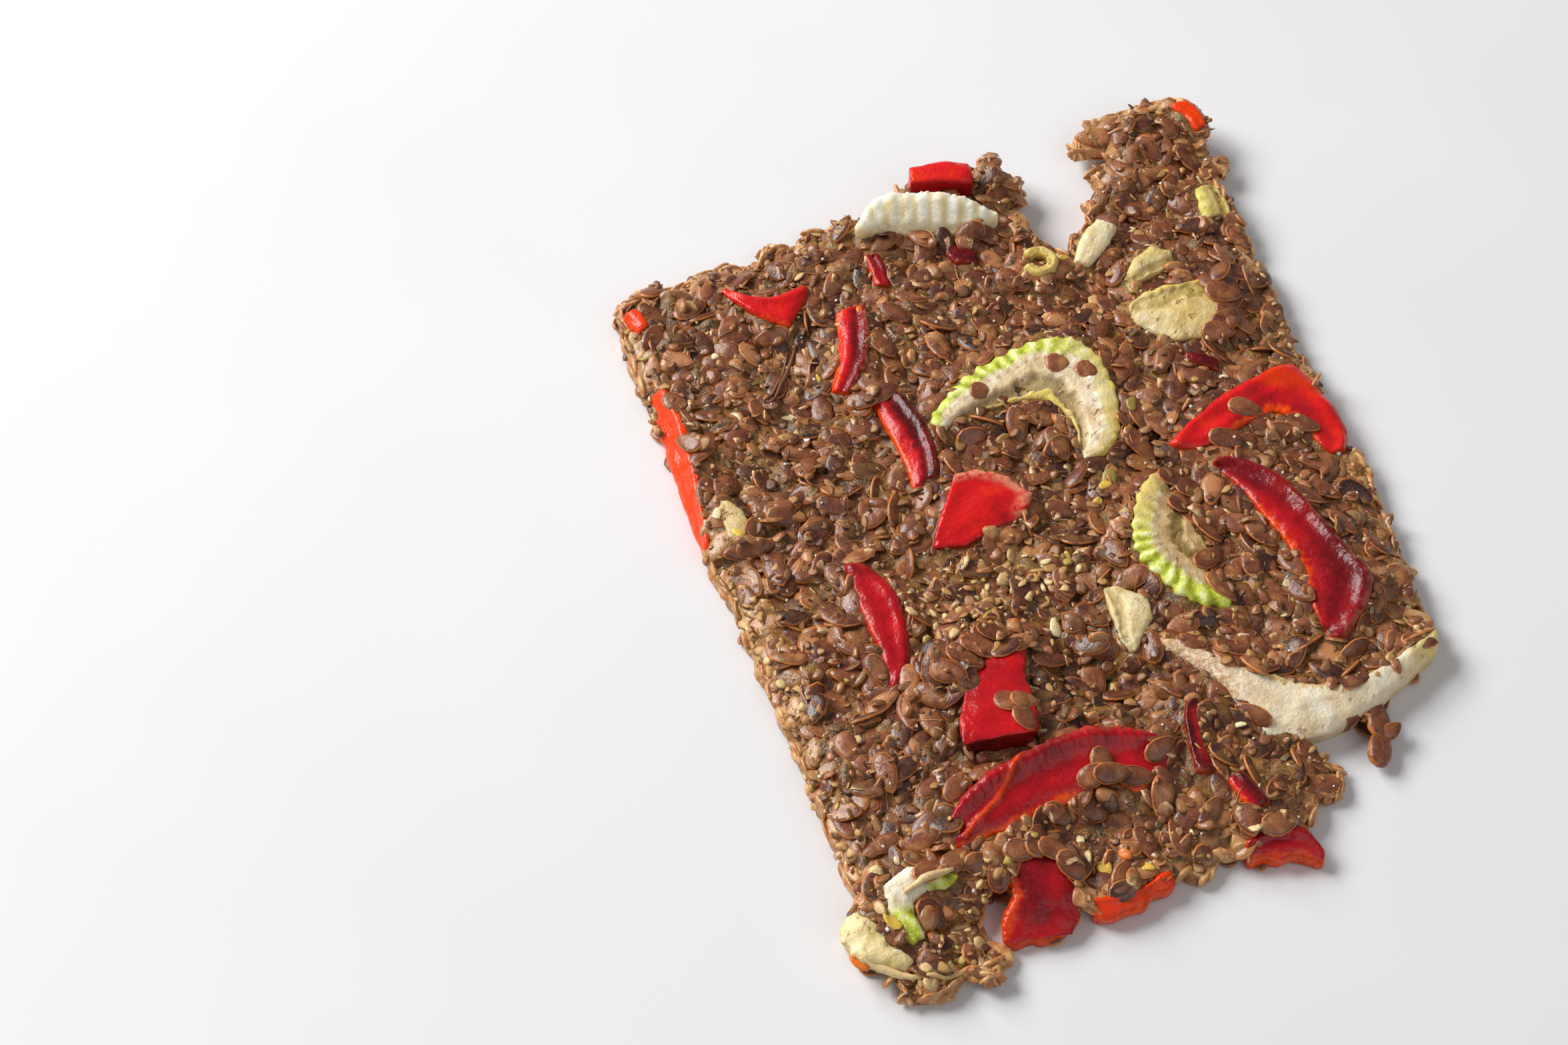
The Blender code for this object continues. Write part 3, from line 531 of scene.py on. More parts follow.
def lay(paint, name, template, centres, axes, sizes, masks, warp=0.05, cut=None, smooth=True):
    """Many copies of a template as one painted mesh: each has its place, axes, size and mask values, and may
    be cut off at a share of its length."""
    shape, faces, rim = template
    count, per = len(centres), len(shape)
    local = shape[None] * sizes[:, None, :]
    bend = random.normal(0.0, 0.016, count)[:, None]
    local[:, :, 2] += bend * (local[:, :, 0] ** 2) - 0.4 * bend * sizes[:, :1]
    marks = {"crust": np.zeros(count * per), "cut": np.zeros(count * per), "rim": np.tile(rim, count)}
    marks.update((key, np.repeat(values, per)) for key, values in masks.items())
    if cut is not None:
        limit = (cut * sizes[:, 0])[:, None]
        marks["cut"] = local[:, :, 0] > limit
        local[:, :, 0] = np.minimum(local[:, :, 0], limit)
    world = (centres[:, None, :] + np.einsum("nij,nvj->nvi", axes, local)).reshape(-1, 3)
    world += warp * np.stack([noise(world, 1.3, seed) for seed in (11, 12, 13)], 1)
    world[:, 2] = np.maximum(world[:, 2], LOWEST)
    every = [[n * per + i for i in face] for n in range(count) for face in faces]
    return paint.on(mesh_object(name, world, every, marks, smooth))


def scattered(spacing, allowed, tries):
    """Random points at least a spacing apart where a grid allows them."""
    cell = {}
    kept = []
    candidates = np.stack([random.uniform(low[k], high[k], tries) for k in (0, 1)], 1)
    for x, y in candidates[at(candidates, allowed.astype(float)) > 0.5]:
        i, j = int(x // spacing), int(y // spacing)
        near = (cell.get((i + a, j + b)) for a in (-1, 0, 1) for b in (-1, 0, 1))
        if all(p is None or (p[0] - x) ** 2 + (p[1] - y) ** 2 > spacing ** 2 for p in near):
            cell[i, j] = (x, y)
            kept.append((x, y))
    return np.array(kept)


def heading(points, jitter):
    """Seeds near an edge or a piece lie along it, the others any way."""
    yaw = random.uniform(0.0, TURN, len(points))
    edge_y, edge_x = (at(points, slope) for slope in edge_slope)
    veg_y, veg_x = (at(points, slope) for slope in veg_slope)
    wobble = random.normal(0.0, jitter, len(points))
    by_edge = (at(points, rim_distance) < 2.2) & (random.random(len(points)) < 0.7)
    yaw = np.where(by_edge, np.arctan2(edge_x, -edge_y) + wobble, yaw)
    return np.where(np.hypot(veg_x, veg_y) > 0.12, np.arctan2(veg_x, -veg_y) + wobble, yaw)


def drop(points, yaw, sizes, sink, tilt):
    """Lays seeds one by one on the heap, each on the mean slope below it, and raises the heap by them."""
    centres, slopes = np.zeros((len(points), 3)), np.zeros((len(points), 2))
    reach = 3.2
    cells = int(2 * reach / FINE) + 1
    for n, ((x, y), a) in enumerate(zip(points, yaw)):
        i = max(int((x - reach - left) / FINE), 0)
        j = max(int((y - reach - front) / FINE), 0)
        window = slice(j, j + cells), slice(i, i + cells)
        patch, gx, gy = heap[window], fine_px[window] - x, fine_py[window] - y
        u = gx * math.cos(a) + gy * math.sin(a)
        v = gy * math.cos(a) - gx * math.sin(a)
        half = sizes[n] / 2.0
        r = (u / half[0]) ** 2 + (v / half[1]) ** 2
        under = r < 1.0
        if under.sum() < 8:
            continue
        h = patch[under]
        design = np.stack([gx[under], gy[under], np.ones(len(h))], 1)
        sx, sy, c = np.linalg.lstsq(design, h, rcond=None)[0]
        size = math.hypot(sx, sy)
        if size > tilt:
            sx, sy = sx * tilt / size, sy * tilt / size
        sx, sy = sx + random.normal(0.0, 0.07), sy + random.normal(0.0, 0.07)
        c = c + 0.35 * (np.percentile(h, 90) - c) + half[2] - sink
        centres[n] = x, y, c
        slopes[n] = sx, sy
        crown = c + sx * gx + sy * gy + half[2] * np.sqrt(np.clip(1.0 - r, 0.0, 1.0)) ** 0.8
        patch[under] = np.maximum(patch[under], crown[under])
    return centres, slopes


def spans(count, *ranges):
    """Random rows, each value within its own range."""
    return np.stack([random.uniform(*limits, count) for limits in ranges], 1)


def seed_sizes(count):
    return spans(count, (3.9, 4.9), (2.3, 2.95), (0.66, 0.94))


def tones(count, mean, width, least=0.0):
    return np.clip(random.normal(mean, width, count), least, 1.0)


def breaks(count, share, least):
    """Where along their length seeds are broken off, for a share of them."""
    return np.where(random.random(count) < share, random.uniform(least, 0.3, count), WHOLE)


hull = seed_paint()
kernel = seed_template()
# Each layer by its name, spacing, number of tries, how deep its seeds sink and how many cells they keep off
# the pieces
LAYERS = (("seeds_below", 2.3, 60000, 0.85, 1), ("seeds_top", 2.8, 30000, 0.6, 2))
layers = []
for name, spacing, tries, sink, room in LAYERS:
    kept_free = spread(veg, room) | spread(tall, 4) | spread(clear, 2)
    points = scattered(spacing, inside & ~kept_free & (rim_distance > 0.9), tries)
    yaw = heading(points, 0.35)
    sizes = seed_sizes(len(points))
    layers.append((name, points, yaw, sizes, *drop(points, yaw, sizes, sink, 0.45)))

for name, points, yaw, sizes, centres, slopes in layers:
    landed = centres[:, 2] != 0.0
    points, yaw, sizes, centres, slopes = (row[landed] for row in (points, yaw, sizes, centres, slopes))
    count = len(points)
    rolled = random.random(count) < 0.10
    roll = np.where(rolled, random.uniform(-1.2, 1.2, count), random.normal(0.0, 0.12, count))
    crust = smooth_step(4.5, 0.8, at(points, rim_distance))
    # Seeds in the hollows get a lower tone: painted shade in the recesses
    tone = tones(count, 0.5, 0.22, 0.08) - 0.4 * np.minimum(at(points, hollow), 1.0)
    cut = breaks(count, 0.14, -0.05)
    masks = {"tone": tone, "crust": crust * random.uniform(0.45, 1.0, count)}
    lay(hull, name, kernel, centres, turned(yaw, *slopes.T, roll), sizes, masks, cut=cut)

# Paste fills the gaps between the seeds, more in some places
rise = sample(blur(heap, 8), px, py, FINE) - 0.24 - 0.12 * mottle(7.0, 4) - 0.10 * mottle(3.5, 7)
top = np.where(shown, bed, np.maximum(bed, np.minimum(rise, np.maximum(level, bed) + 0.5)))
film = np.clip((top - bed) / 0.6, 0.0, 1.0)
top = top + 0.12 * mottle(0.9, 5) + 0.12 * mottle(1.7, 6)
heap = np.maximum(heap, sample(top, fine_px, fine_py))


def core():
    """The paste's top and base sheet: points, faces, the next rim point after each one of the top, and the
    number of points of the top."""
    cells = inside[:-1, :-1] & inside[1:, :-1] & inside[:-1, 1:] & inside[1:, 1:]
    used = np.zeros_like(inside)
    for a, b in itertools.product((0, 1), repeat=2):
        used[a:used.shape[0] - 1 + a, b:used.shape[1] - 1 + b] |= cells
    count = int(used.sum())
    index = -np.ones(inside.shape, int)
    index[used] = np.arange(count)
    bottom = np.minimum(base + 0.35, top - 0.6)[used]
    points = np.concatenate([np.stack([px[used], py[used], z], 1) for z in (top[used], bottom)])
    j, i = np.nonzero(cells)
    a, b, c, d = index[j, i], index[j, i + 1], index[j + 1, i + 1], index[j + 1, i]
    faces = np.stack([a, b, c, d], 1).tolist() + (np.stack([d, c, b, a], 1) + count).tolist()
    sides = {}
    for quad in zip(a, b, c, d):
        for side in zip(quad, quad[1:] + quad[:1]):
            if side[::-1] in sides:
                del sides[side[::-1]]
            else:
                sides[side] = True
    return points, faces, dict(sides.keys()), count


def smoothed_rim(points, following, count):
    """The rim's points moved onto the CAD wall, so the outline is the solid's own."""
    rim = list(following)
    before = {b: a for a, b in following.items()}
    for _ in range(4):
        moved = {r: 0.5 * points[r, :2] + 0.25 * (points[following[r], :2] + points[before.get(r, r), :2])
                 for r in rim}
        for r, p in moved.items():
            points[r, :2] = p
    for r in rim:
        x, y = points[r, :2]
        near = slab_tree.find_nearest((x, y, 0.5 * (points[r, 2] + points[r + count, 2])))[0]
        if near is not None and math.hypot(near.x - x, near.y - y) < 1.0:
            points[r, :2] = near.x, near.y
        points[r + count, :2] = points[r, :2]
    return rim


def walled(points, faces, rim, following, count, rows=4):
    """The sheet's points with those of the wall between its top and base; the wall's faces join the list."""
    index = {}
    added = []
    for r in rim:
        index[r, 0], index[r, rows] = r, r + count
        for k in range(1, rows):
            t = k / rows
            index[r, k] = 2 * count + len(added)
            added.append(points[r] * (1 - t) + points[r + count] * t)
    for r, k in itertools.product(rim, range(rows)):
        after = following[r]
        faces.append([index[after, k], index[r, k], index[r, k + 1], index[after, k + 1]])
    return np.concatenate([points, added])


def paste():
    """The paste with its uneven wall. Returns the points of its rim, the next ones and those below them."""
    points, faces, following, count = core()
    rim = smoothed_rim(points, following, count)
    every = walled(points, faces, rim, following, count)
    wobble = 0.25 * np.stack([noise(every, 1.6, 21), noise(every, 1.6, 22)], 1)
    foot = np.array(rim) + count
    on_rim = np.zeros(len(every), bool)
    on_rim[rim] = on_rim[foot] = on_rim[2 * count:] = True
    every[on_rim, :2] += wobble[on_rim]
    crust = smooth_step(2.0, 0.4, at(every, rim_distance)) * (0.7 + 0.5 * noise(every, 2.4, 31))
    masks = {"film": at(every, film), "crust": np.clip(crust, 0.0, 1.0)}
    slab = paste_paint().on(mesh_object("slab_paste", every, faces, masks))
    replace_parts(slab, "cracker_slab")
    return every[rim], every[[following[r] for r in rim]], every[foot]


def edge_seeds(rim, after, foot):
    """Seeds on edge along the walls, clear of the pieces."""
    free = np.nonzero(at(rim, veg.astype(float)) < 0.1)[0]
    pick = random.permutation(free)[:int(len(free) * 0.42)]
    ahead = (after - rim)[pick]
    along = np.arctan2(ahead[:, 1], ahead[:, 0])
    count = len(pick)
    sizes = 0.95 * seed_sizes(count) * (0.8, 0.72, 1.0)
    low_z, high_z = foot[pick, 2], rim[pick, 2]
    z = low_z + (high_z - low_z) * random.uniform(0.05, 1.0, count)
    z = np.maximum(z, 0.75 + low_z - 0.35)
    outward = np.stack([np.sin(along), -np.cos(along)], 1)
    centres = np.column_stack([rim[pick, :2] - 0.25 * outward, z])
    roll = math.pi / 2 + random.normal(0.0, 0.4, count)
    yaw = along + random.normal(0.0, 0.14, count)
    masks = {"tone": tones(count, 0.5, 0.2), "crust": random.uniform(0.4, 1.0, count)}
    lay(hull, "seeds_edge", kernel, centres, turned(yaw, *np.zeros((2, count)), roll), sizes, masks)


def under_seeds():
    """Seeds that lie flat under the slab."""
    points = scattered(2.7, inside & (rim_distance > 1.4) & (base < 6.0), 30000)
    count = len(points)
    sizes = seed_sizes(count)
    yaw = random.uniform(0.0, TURN, count)
    centres = np.column_stack([points, at(points, base) + 0.5 * sizes[:, 2] + 0.04])
    masks = {"tone": tones(count, 0.45, 0.22)}
    axes = turned(yaw, *random.normal(0.0, 0.03, (2, count)))
    lay(hull, "seeds_under", kernel, centres, axes, sizes, masks, warp=0.02)


def loose_seeds(name, spacing, sink, allowed, tilt=0.4):
    """Whole seeds that lie on top of the paste, or lap over the edges of the pieces."""
    points = scattered(spacing, allowed, 20000)
    yaw = heading(points, 0.6)
    count = len(points)
    sizes = seed_sizes(count)
    centres, slopes = drop(points, yaw, sizes, sink, tilt)
    masks = {"tone": tones(count, 0.55, 0.2)}
    cut = breaks(count, 0.12, 0.0)
    axes = turned(yaw, *slopes.T, random.normal(0.0, 0.25, count))
    lay(hull, name, kernel, centres, axes, sizes, masks, cut=cut)


edge_seeds(*paste())
under_seeds()
lapped = spread(veg, 2) & (veg_depth < 0.6) & ~spread(tall, 3) & ~spread(clear, 4) & (rim_distance > 1.8)
loose_seeds("seeds_loose", 4.6, 0.42, inside & ~spread(veg, 2) & ~spread(clear, 4) & (rim_distance > 1.6))
loose_seeds("seeds_lapping", 6.0, 0.35, lapped, 0.55)

# Seeds that stand out, each by its place, heading in degrees, length and tone
NOTABLE = (
    (20.5, -10.2, -31, 5.0, 0.75), (14.7, -14.2, 19, 5.0, 0.72), (14.6, -18.4, -59, 4.8, 0.8),
    (19.5, -4.4, -119, 4.8, 0.95), (14.9, -5.9, -4, 4.4, 0.5), (15.5, -1.6, -23, 4.4, 0.4),
    (16.9, -3.5, -41, 4.0, 0.5), (16.5, -9.7, -72, 5.2, 0.55), (13.7, 4.6, -66, 5.2, 0.7),
    (33.5, 0.9, -37, 4.6, 0.6), (15.1, 8.7, -88, 4.8, 0.75), (16.9, 7.1, -75, 5.2, 0.8),
    (0.4, 11.9, -107, 5.1, 0.6), (4.0, 7.5, -84, 5.2, 0.65), (7.9, 18.1, -18, 3.0, 0.85),
    (11.1, 16.1, -58, 3.0, 0.8), (-2.6, 17.1, -18, 2.8, 0.75), (-3.1, -11.4, -87, 5.2, 0.6),
    (-1.2, -17.1, -54, 4.6, 0.45), (4.5, -10.2, -77, 4.7, 0.5), (-11.8, -6.6, -27, 4.8, 0.25),
    (-27.9, -3.0, -78, 5.2, 0.5), (-34.4, 0.6, -87, 5.2, 0.55), (-16.8, 1.6, -106, 4.9, 0.65),
    (-24.7, 7.3, -38, 5.1, 0.55), (-31.0, 7.8, -24, 4.6, 0.6), (-28.4, 18.7, 6, 4.4, 0.7),
    (-26.4, 16.4, -24, 4.6, 0.8), (-17.8, 17.2, -46, 4.6, 0.55), (-32.6, 41.7, 17, 4.7, 0.65),
    (-4.7, 26.3, -92, 5.2, 0.7), (-25.9, -22.7, -103, 5.2, 0.75), (-23.9, -24.8, -94, 4.6, 0.75),
    (-24.7, -19.4, -106, 4.7, 0.95), (-12.7, -19.0, 9, 4.4, 0.4), (-15.4, -26.6, -57, 3.6, 0.75),
    (-13.6, -27.0, -9, 3.8, 0.95), (-14.4, -29.3, -80, 3.4, 0.7), (-2.4, -11.6, -88, 4.2, 0.6),
    (-7.9, -37.0, -95, 4.4, 0.65), (-4.8, -39.3, -21, 4.6, 0.5), (-0.9, -37.1, 21, 4.4, 0.75),
    (-9.4, -38.1, 14, 4.2, 0.7), (-2.6, -42.3, -106, 5.1, 0.8), (5.4, -47.9, -94, 4.2, 0.75),
    (16.2, -45.3, -9, 4.7, 0.75), (16.1, -41.7, -64, 4.4, 0.6), (-30.3, -39.2, 8, 4.8, 0.8),
    (-31.2, -29.8, -93, 5.2, 0.75), (-24.4, -34.3, 43, 4.2, 0.7), (-37.1, -32.7, -37, 4.4, 0.7),
    (-28.2, -14.5, -18, 4.4, 0.55), (-20.5, -10.7, -61, 4.0, 0.7), (-16.0, -12.1, 23, 4.3, 0.85),
    (29.5, -9.3, -45, 4.6, 0.6), (12.5, -26.6, -35, 4.2, 0.55), (32.5, -8.5, -51, 4.4, 0.6),
    (-3.4, -24.1, -88, 4.2, 0.75), (-2.5, -20.5, -25, 4.7, 0.3), (8.5, -49.5, -7, 4.2, 0.8),
    (33.6, 23.2, -70, 4.8, 0.55), (35.2, 25.6, -40, 4.6, 0.5), (32.2, 20.6, 20, 4.4, 0.6),
    (34.6, 28.4, -80, 4.4, 0.45), (-14.8, 23.0, -60, 4.8, 0.6), (-14.0, 21.2, 10, 4.6, 0.5),
    (-16.9, 20.9, -30, 4.4, 0.65), (-30.1, -7.6, -75, 4.8, 0.55), (-29.4, -12.4, -60, 4.6, 0.6),
    (-27.6, -16.8, -80, 4.8, 0.5), (-23.0, -22.2, -55, 4.8, 0.7), (-20.4, -20.5, -35, 4.6, 0.75),
    (-18.0, -19.1, -40, 4.8, 0.65), (-15.7, -17.7, -30, 4.6, 0.8), (-13.3, -16.5, -20, 4.8, 0.6),
    (-30.7, -43.4, 10, 4.8, 0.7), (-27.2, -42.8, 15, 5.0, 0.65), (-24.9, -44.0, -20, 4.2, 0.6),
    (-7.5, -38.6, -10, 4.6, 0.6), (22.3, -12.6, -65, 4.6, 0.6), (24.0, -17.6, -75, 4.8, 0.7),
    (23.4, -21.6, -60, 4.4, 0.6), (23.9, 1.7, -30, 4.8, 0.6), (24.4, 11.9, -50, 4.8, 0.5),
    (27.6, 5.0, -30, 4.4, 0.7), (-22.4, -43.2, 30, 4.6, 0.6), (-20.2, -44.0, -15, 4.4, 0.7),
    (-18.2, -43.6, 60, 4.4, 0.5), (-16.6, -45.2, -40, 4.6, 0.65), (-15.6, -47.4, -70, 4.2, 0.55),
    (-23.6, -45.8, 75, 4.4, 0.6), (31.4, 24.2, -60, 4.4, 0.6), (30.6, 18.6, 20, 4.4, 0.55),
    (31.8, 22.2, -30, 4.6, 0.65), (33.0, 25.6, 40, 4.2, 0.5), (29.2, 17.2, -20, 4.2, 0.7),
)
# Seeds that hang on the front crescent, each by its place, heading in degrees, size and tone
HANGING = (
    (25.6, -39.4, 2.0, 75.0, 5.6, 3.1, 1.9, 0.55),
    (24.4, -42.8, 1.5, 60.0, 5.2, 3.0, 1.8, 0.6),
    (26.4, -41.4, 2.2, 20.0, 3.0, 2.0, 0.8, 0.7),
)


def notable_seeds():
    table = np.array(NOTABLE)
    yaw = np.radians(table[:, 2])
    sizes = seed_sizes(len(table))
    sizes[:, 0] = table[:, 3]
    centres, slopes = drop(table[:, :2], yaw, sizes, 0.3, 0.5)
    lay(hull, "seeds_notable", kernel, centres, turned(yaw, *slopes.T), sizes, {"tone": table[:, 4]})


def hanging_seeds():
    table = np.array(HANGING)
    level_slopes = np.zeros((2, len(table)))
    axes = turned(np.radians(table[:, 3]), *level_slopes, np.full(len(table), 0.35))
    lay(hull, "seeds_hanging", kernel, table[:, :3], axes, table[:, 4:7], {"tone": table[:, 7]})


notable_seeds()
hanging_seeds()


# Crumbs


# Chips that stand out, each by its place, tone and length
CHIPS = (
    (-24.9, 18.1, 0.0, 0.9), (-26.0, 20.2, 0.0, 0.8), (-16.1, -13.6, 0.0, 0.7), (36.6, -4.1, 0.0, 0.8),
    (-25.8, 22.2, 0.2, 1.8), (-5.2, -16.6, 0.2, 2.4), (-9.9, -15.4, 0.6, 1.5), (7.9, 0.4, 0.8, 3.2),
    (9.4, -36.0, 0.2, 1.6), (-11.7, -48.1, 0.4, 2.2), (-9.2, -47.6, 0.6, 1.7), (-7.5, -49.5, 0.4, 2.0),
    (-5.4, -51.1, 0.6, 1.6), (-13.5, -44.5, 0.2, 2.2), (5.7, -1.8, 0.4, 2.0), (7.2, -0.2, 0.4, 1.6),
    (-37.2, 6.8, 0.4, 1.8), (-38.6, 10.5, 0.2, 1.8), (-36.6, -47.6, 0.4, 2.6), (-41.2, -50.6, 0.6, 2.8),
    (-36.4, -53.8, 0.4, 1.8), (-20.6, 26.8, 0.4, 1.2), (14.6, 9.8, 0.8, 2.0), (-33.6, -40.8, 0.2, 1.8),
    (21.8, 27.6, 0.8, 2.2), (22.4, -20.2, 0.2, 1.4), (-0.6, -8.2, 0.4, 1.2), (-31.6, 33.8, 0.2, 1.4),
    (-12.2, 34.6, 0.6, 1.2), (15.6, 34.8, 0.4, 1.6), (33.4, 44.8, 0.4, 1.4),
)
# Strands that stand out, each by its start, middle and end, its radius and its tone
STRANDS = (
    ((-21.4, 32.7), (-24.2, 28.4), (-27.4, 24.2), 0.32, 0.3),
    ((-22.6, 32.4), (-25.0, 28.0), (-28.4, 24.6), 0.2, 0.45),
    ((-41.3, -50.2), (-39.0, -52.4), (-35.6, -54.4), 0.55, 0.93),
    ((-36.4, -54.0), (-33.6, -54.9), (-31.0, -54.9), 0.3, 0.9),
    ((-34.4, -45.0), (-31.2, -44.3), (-28.2, -44.1), 0.5, 0.93),
    ((-37.7, 11.5), (-36.6, 8.8), (-36.0, 6.3), 0.12, 0.9),
    ((-36.8, -30.2), (-35.4, -30.6), (-34.1, -31.3), 0.1, 0.9),
)


def crumb_template():
    """A rough lump of unit size with twenty faces."""
    g = (1.0 + 5.0 ** 0.5) / 2.0
    points = [(-1, g, 0), (1, g, 0), (-1, -g, 0), (1, -g, 0), (0, -1, g), (0, 1, g), (0, -1, -g), (0, 1, -g),
              (g, 0, -1), (g, 0, 1), (-g, 0, -1), (-g, 0, 1)]
    faces = [[0, 11, 5], [0, 5, 1], [0, 1, 7], [0, 7, 10], [0, 10, 11], [1, 5, 9], [5, 11, 4], [11, 10, 2],
             [10, 7, 6], [7, 1, 8], [3, 9, 4], [3, 4, 2], [3, 2, 6], [3, 6, 8], [3, 8, 9], [4, 9, 5],
             [2, 4, 11], [6, 2, 10], [8, 6, 7], [9, 8, 1]]
    return np.array(points) / (2.0 * math.hypot(1, g)), faces, np.zeros(12)


def on_heap(points, sizes, lift):
    """Centres of things that lie on the heap, lifted by a share of their height."""
    return np.column_stack([points, at(points, heap, FINE) + lift * sizes[:, 2]])


def hull_bits(name, paint, spacing, allowed, length, height, tone, sink, slope):
    """Bits of broken hull and kernel that lie on the heap at all slopes."""
    points = scattered(spacing, allowed, 20000)
    count = len(points)
    lengths = random.uniform(*length, (count, 1))
    sizes = lengths * np.column_stack([np.ones(count), spans(count, (0.45, 0.8), height)])
    slopes = random.normal(0.0, slope, (2, count))
    masks = {"tone": tones(count, *tone, 0.25), "crust": 0.5 * random.random(count) ** 2}
    cut = breaks(count, 0.6, -0.2)
    axes = turned(random.uniform(0.0, TURN, count), *slopes)
    bit = seed_template(8, ((0.6, 0.8),), ())
    lay(paint, name, bit, on_heap(points, sizes, -sink), axes, sizes, masks, cut=cut)


def crumbs():
    """Crumbs on the paste between the seeds."""
    points = scattered(1.6, inside & ~shown & (rim_distance > 0.4), 40000)
    z, floor = at(points, heap, FINE), at(points, top)
    low_down = z - floor < 0.35
    points, z = points[low_down], np.maximum(z, floor)[low_down]
    count = len(points)
    sizes = random.uniform(0.35, 1.2, (count, 1)) * spans(count, (0.8, 1.8), (0.4, 0.9), (0.12, 0.4))
    slopes = random.normal(0.0, 0.35, (2, count))
    centres = np.column_stack([points, z + 0.1 * sizes[:, 2]])
    axes = turned(random.uniform(0.0, TURN, count), *slopes)
    masks = {"tone": 0.04 + 0.68 * random.random(count)}
    lay(bits, "seed_crumbs", crumb, centres, axes, sizes, masks, warp=0.12, smooth=False)


def chips():
    table = np.array(CHIPS)
    count = len(table)
    sizes = table[:, 3:] * np.column_stack([np.ones(count), spans(count, (0.5, 0.8), (0.16, 0.3))])
    centres = on_heap(table[:, :2], sizes, 0.1)
    axes = turned(random.uniform(0.0, TURN, count), *random.normal(0.0, 0.25, (2, count)))
    lay(chip, "vegetable_chips", seed_template(9), centres, axes, sizes, {"tone": table[:, 2]}, warp=0.38)


def salt():
    """Grains of salt, sparse on the seeds and paste."""
    points = scattered(6.5, inside & ~spread(veg, 1) & (rim_distance > 0.6), 6000)
    count = len(points)
    sizes = random.uniform(0.22, 0.5, (count, 1)) * random.uniform(0.7, 1.2, (count, 3))
    axes = turned(random.uniform(0.0, TURN, count), *random.normal(0.0, 0.4, (2, count)))
    masks = {"tone": 0.12 * random.random(count)}
    lay(chip, "salt_grains", crumb, on_heap(points, sizes, 0.3), axes, sizes, masks, smooth=False)


def strands(name, lines, rings=9, sides=6):
    """Thin fibres that follow the heap, each through three points, with its radius and tone."""
    points, faces, tone_of = [], [], []
    for first, middle, last, radius, tone in lines:
        start = len(points)
        t = np.linspace(0.0, 1.0, rings)[:, None]
        bow = 2.0 * np.array(middle) - 0.5 * np.add(first, last)
        path = (1 - t) ** 2 * first + 2 * t * (1 - t) * bow + t * t * last
        path += 0.15 * np.stack([noise(path, 1.5, 61), noise(path, 1.5, 62)], 1)
        z = np.maximum(at(path, heap, FINE), at(path, bed))
        ahead = np.gradient(path, axis=0)
        ahead /= np.linalg.norm(ahead, axis=1)[:, None]
        for k in range(rings):
            taper = radius * (0.35 + 0.65 * math.sin(math.pi * (k + 0.5) / rings))
            for m in range(sides):
                a = TURN * m / sides
                side, lift = taper * math.cos(a), taper * math.sin(a)
                points.append((path[k, 0] - side * ahead[k, 1], path[k, 1] + side * ahead[k, 0],
                               z[k] + 0.6 * radius + lift))
        tone_of += [tone] * (rings * sides)
        for k, m in itertools.product(range(rings - 1), range(sides)):
            a, b = start + sides * k + m, start + sides * k + (m + 1) % sides
            faces.append([a, b, b + sides, a + sides])
        end = start + sides * (rings - 1)
        faces += [[start + m for m in reversed(range(sides))], [end + m for m in range(sides)]]
    bits.on(mesh_object(name, points, faces, {"tone": tone_of}))


def fibres(count):
    """Random fine fibres on the heap."""
    made = []
    for place in scattered(4.0, inside & ~shown & (rim_distance > 1.5), 4000)[:count]:
        a = random.uniform(0.0, TURN)
        step = np.array((math.cos(a), math.sin(a))) * random.uniform(0.8, 2.4)
        bow = np.array((-math.sin(a), math.cos(a))) * random.normal(0.0, 0.3)
        radius, tone = random.uniform(0.04, 0.09), random.uniform(0.5, 0.9)
        made.append((place - step, place + bow, place + step, radius, tone))
    return made


bits = crumb_paint()
open_paste = inside & ~shown & (rim_distance > 0.5)
hull_bits("hull_bits", hull, 2.0, open_paste, (1.4, 3.6), (0.15, 0.3), (0.6, 0.2), 0.3, 0.5)
hull_bits("paste_flakes", bits, 1.5, open_paste, (0.8, 2.6), (0.06, 0.16), (0.52, 0.2), 0.3, 0.4)
edge_paste = inside & ~shown & (rim_distance > 0.3) & (rim_distance < 1.8)
hull_bits("edge_flakes", bits, 0.9, edge_paste, (0.7, 1.9), (0.15, 0.35), (0.78, 0.1), 0.3, 0.6)
# Broken pale hulls lie thick behind the raised block and along the left cut edge
drift = ((px + 11.0) / 11.0) ** 2 + ((py + 10.5) / 5.5) ** 2 + 0.5 * mottle(3.0, 21) < 1.0
drift = drift | (rim_distance < 3.0 + 2.0 * mottle(4.0, 22)) & (px < -22.0) & (py < 2.0)
drift = drift & inside & ~spread(veg, 1) & (rim_distance > 0.8)
hull_bits("pale_flakes", bits, 1.1, drift, (0.9, 2.6), (0.1, 0.25), (0.86, 0.09), 0.1, 0.5)
crumb = crumb_template()
crumbs()
chip = chip_paint()
chips()
salt()
strands("vegetable_strands", STRANDS)
strands("fine_fibres", fibres(60))


# Pepper and celery


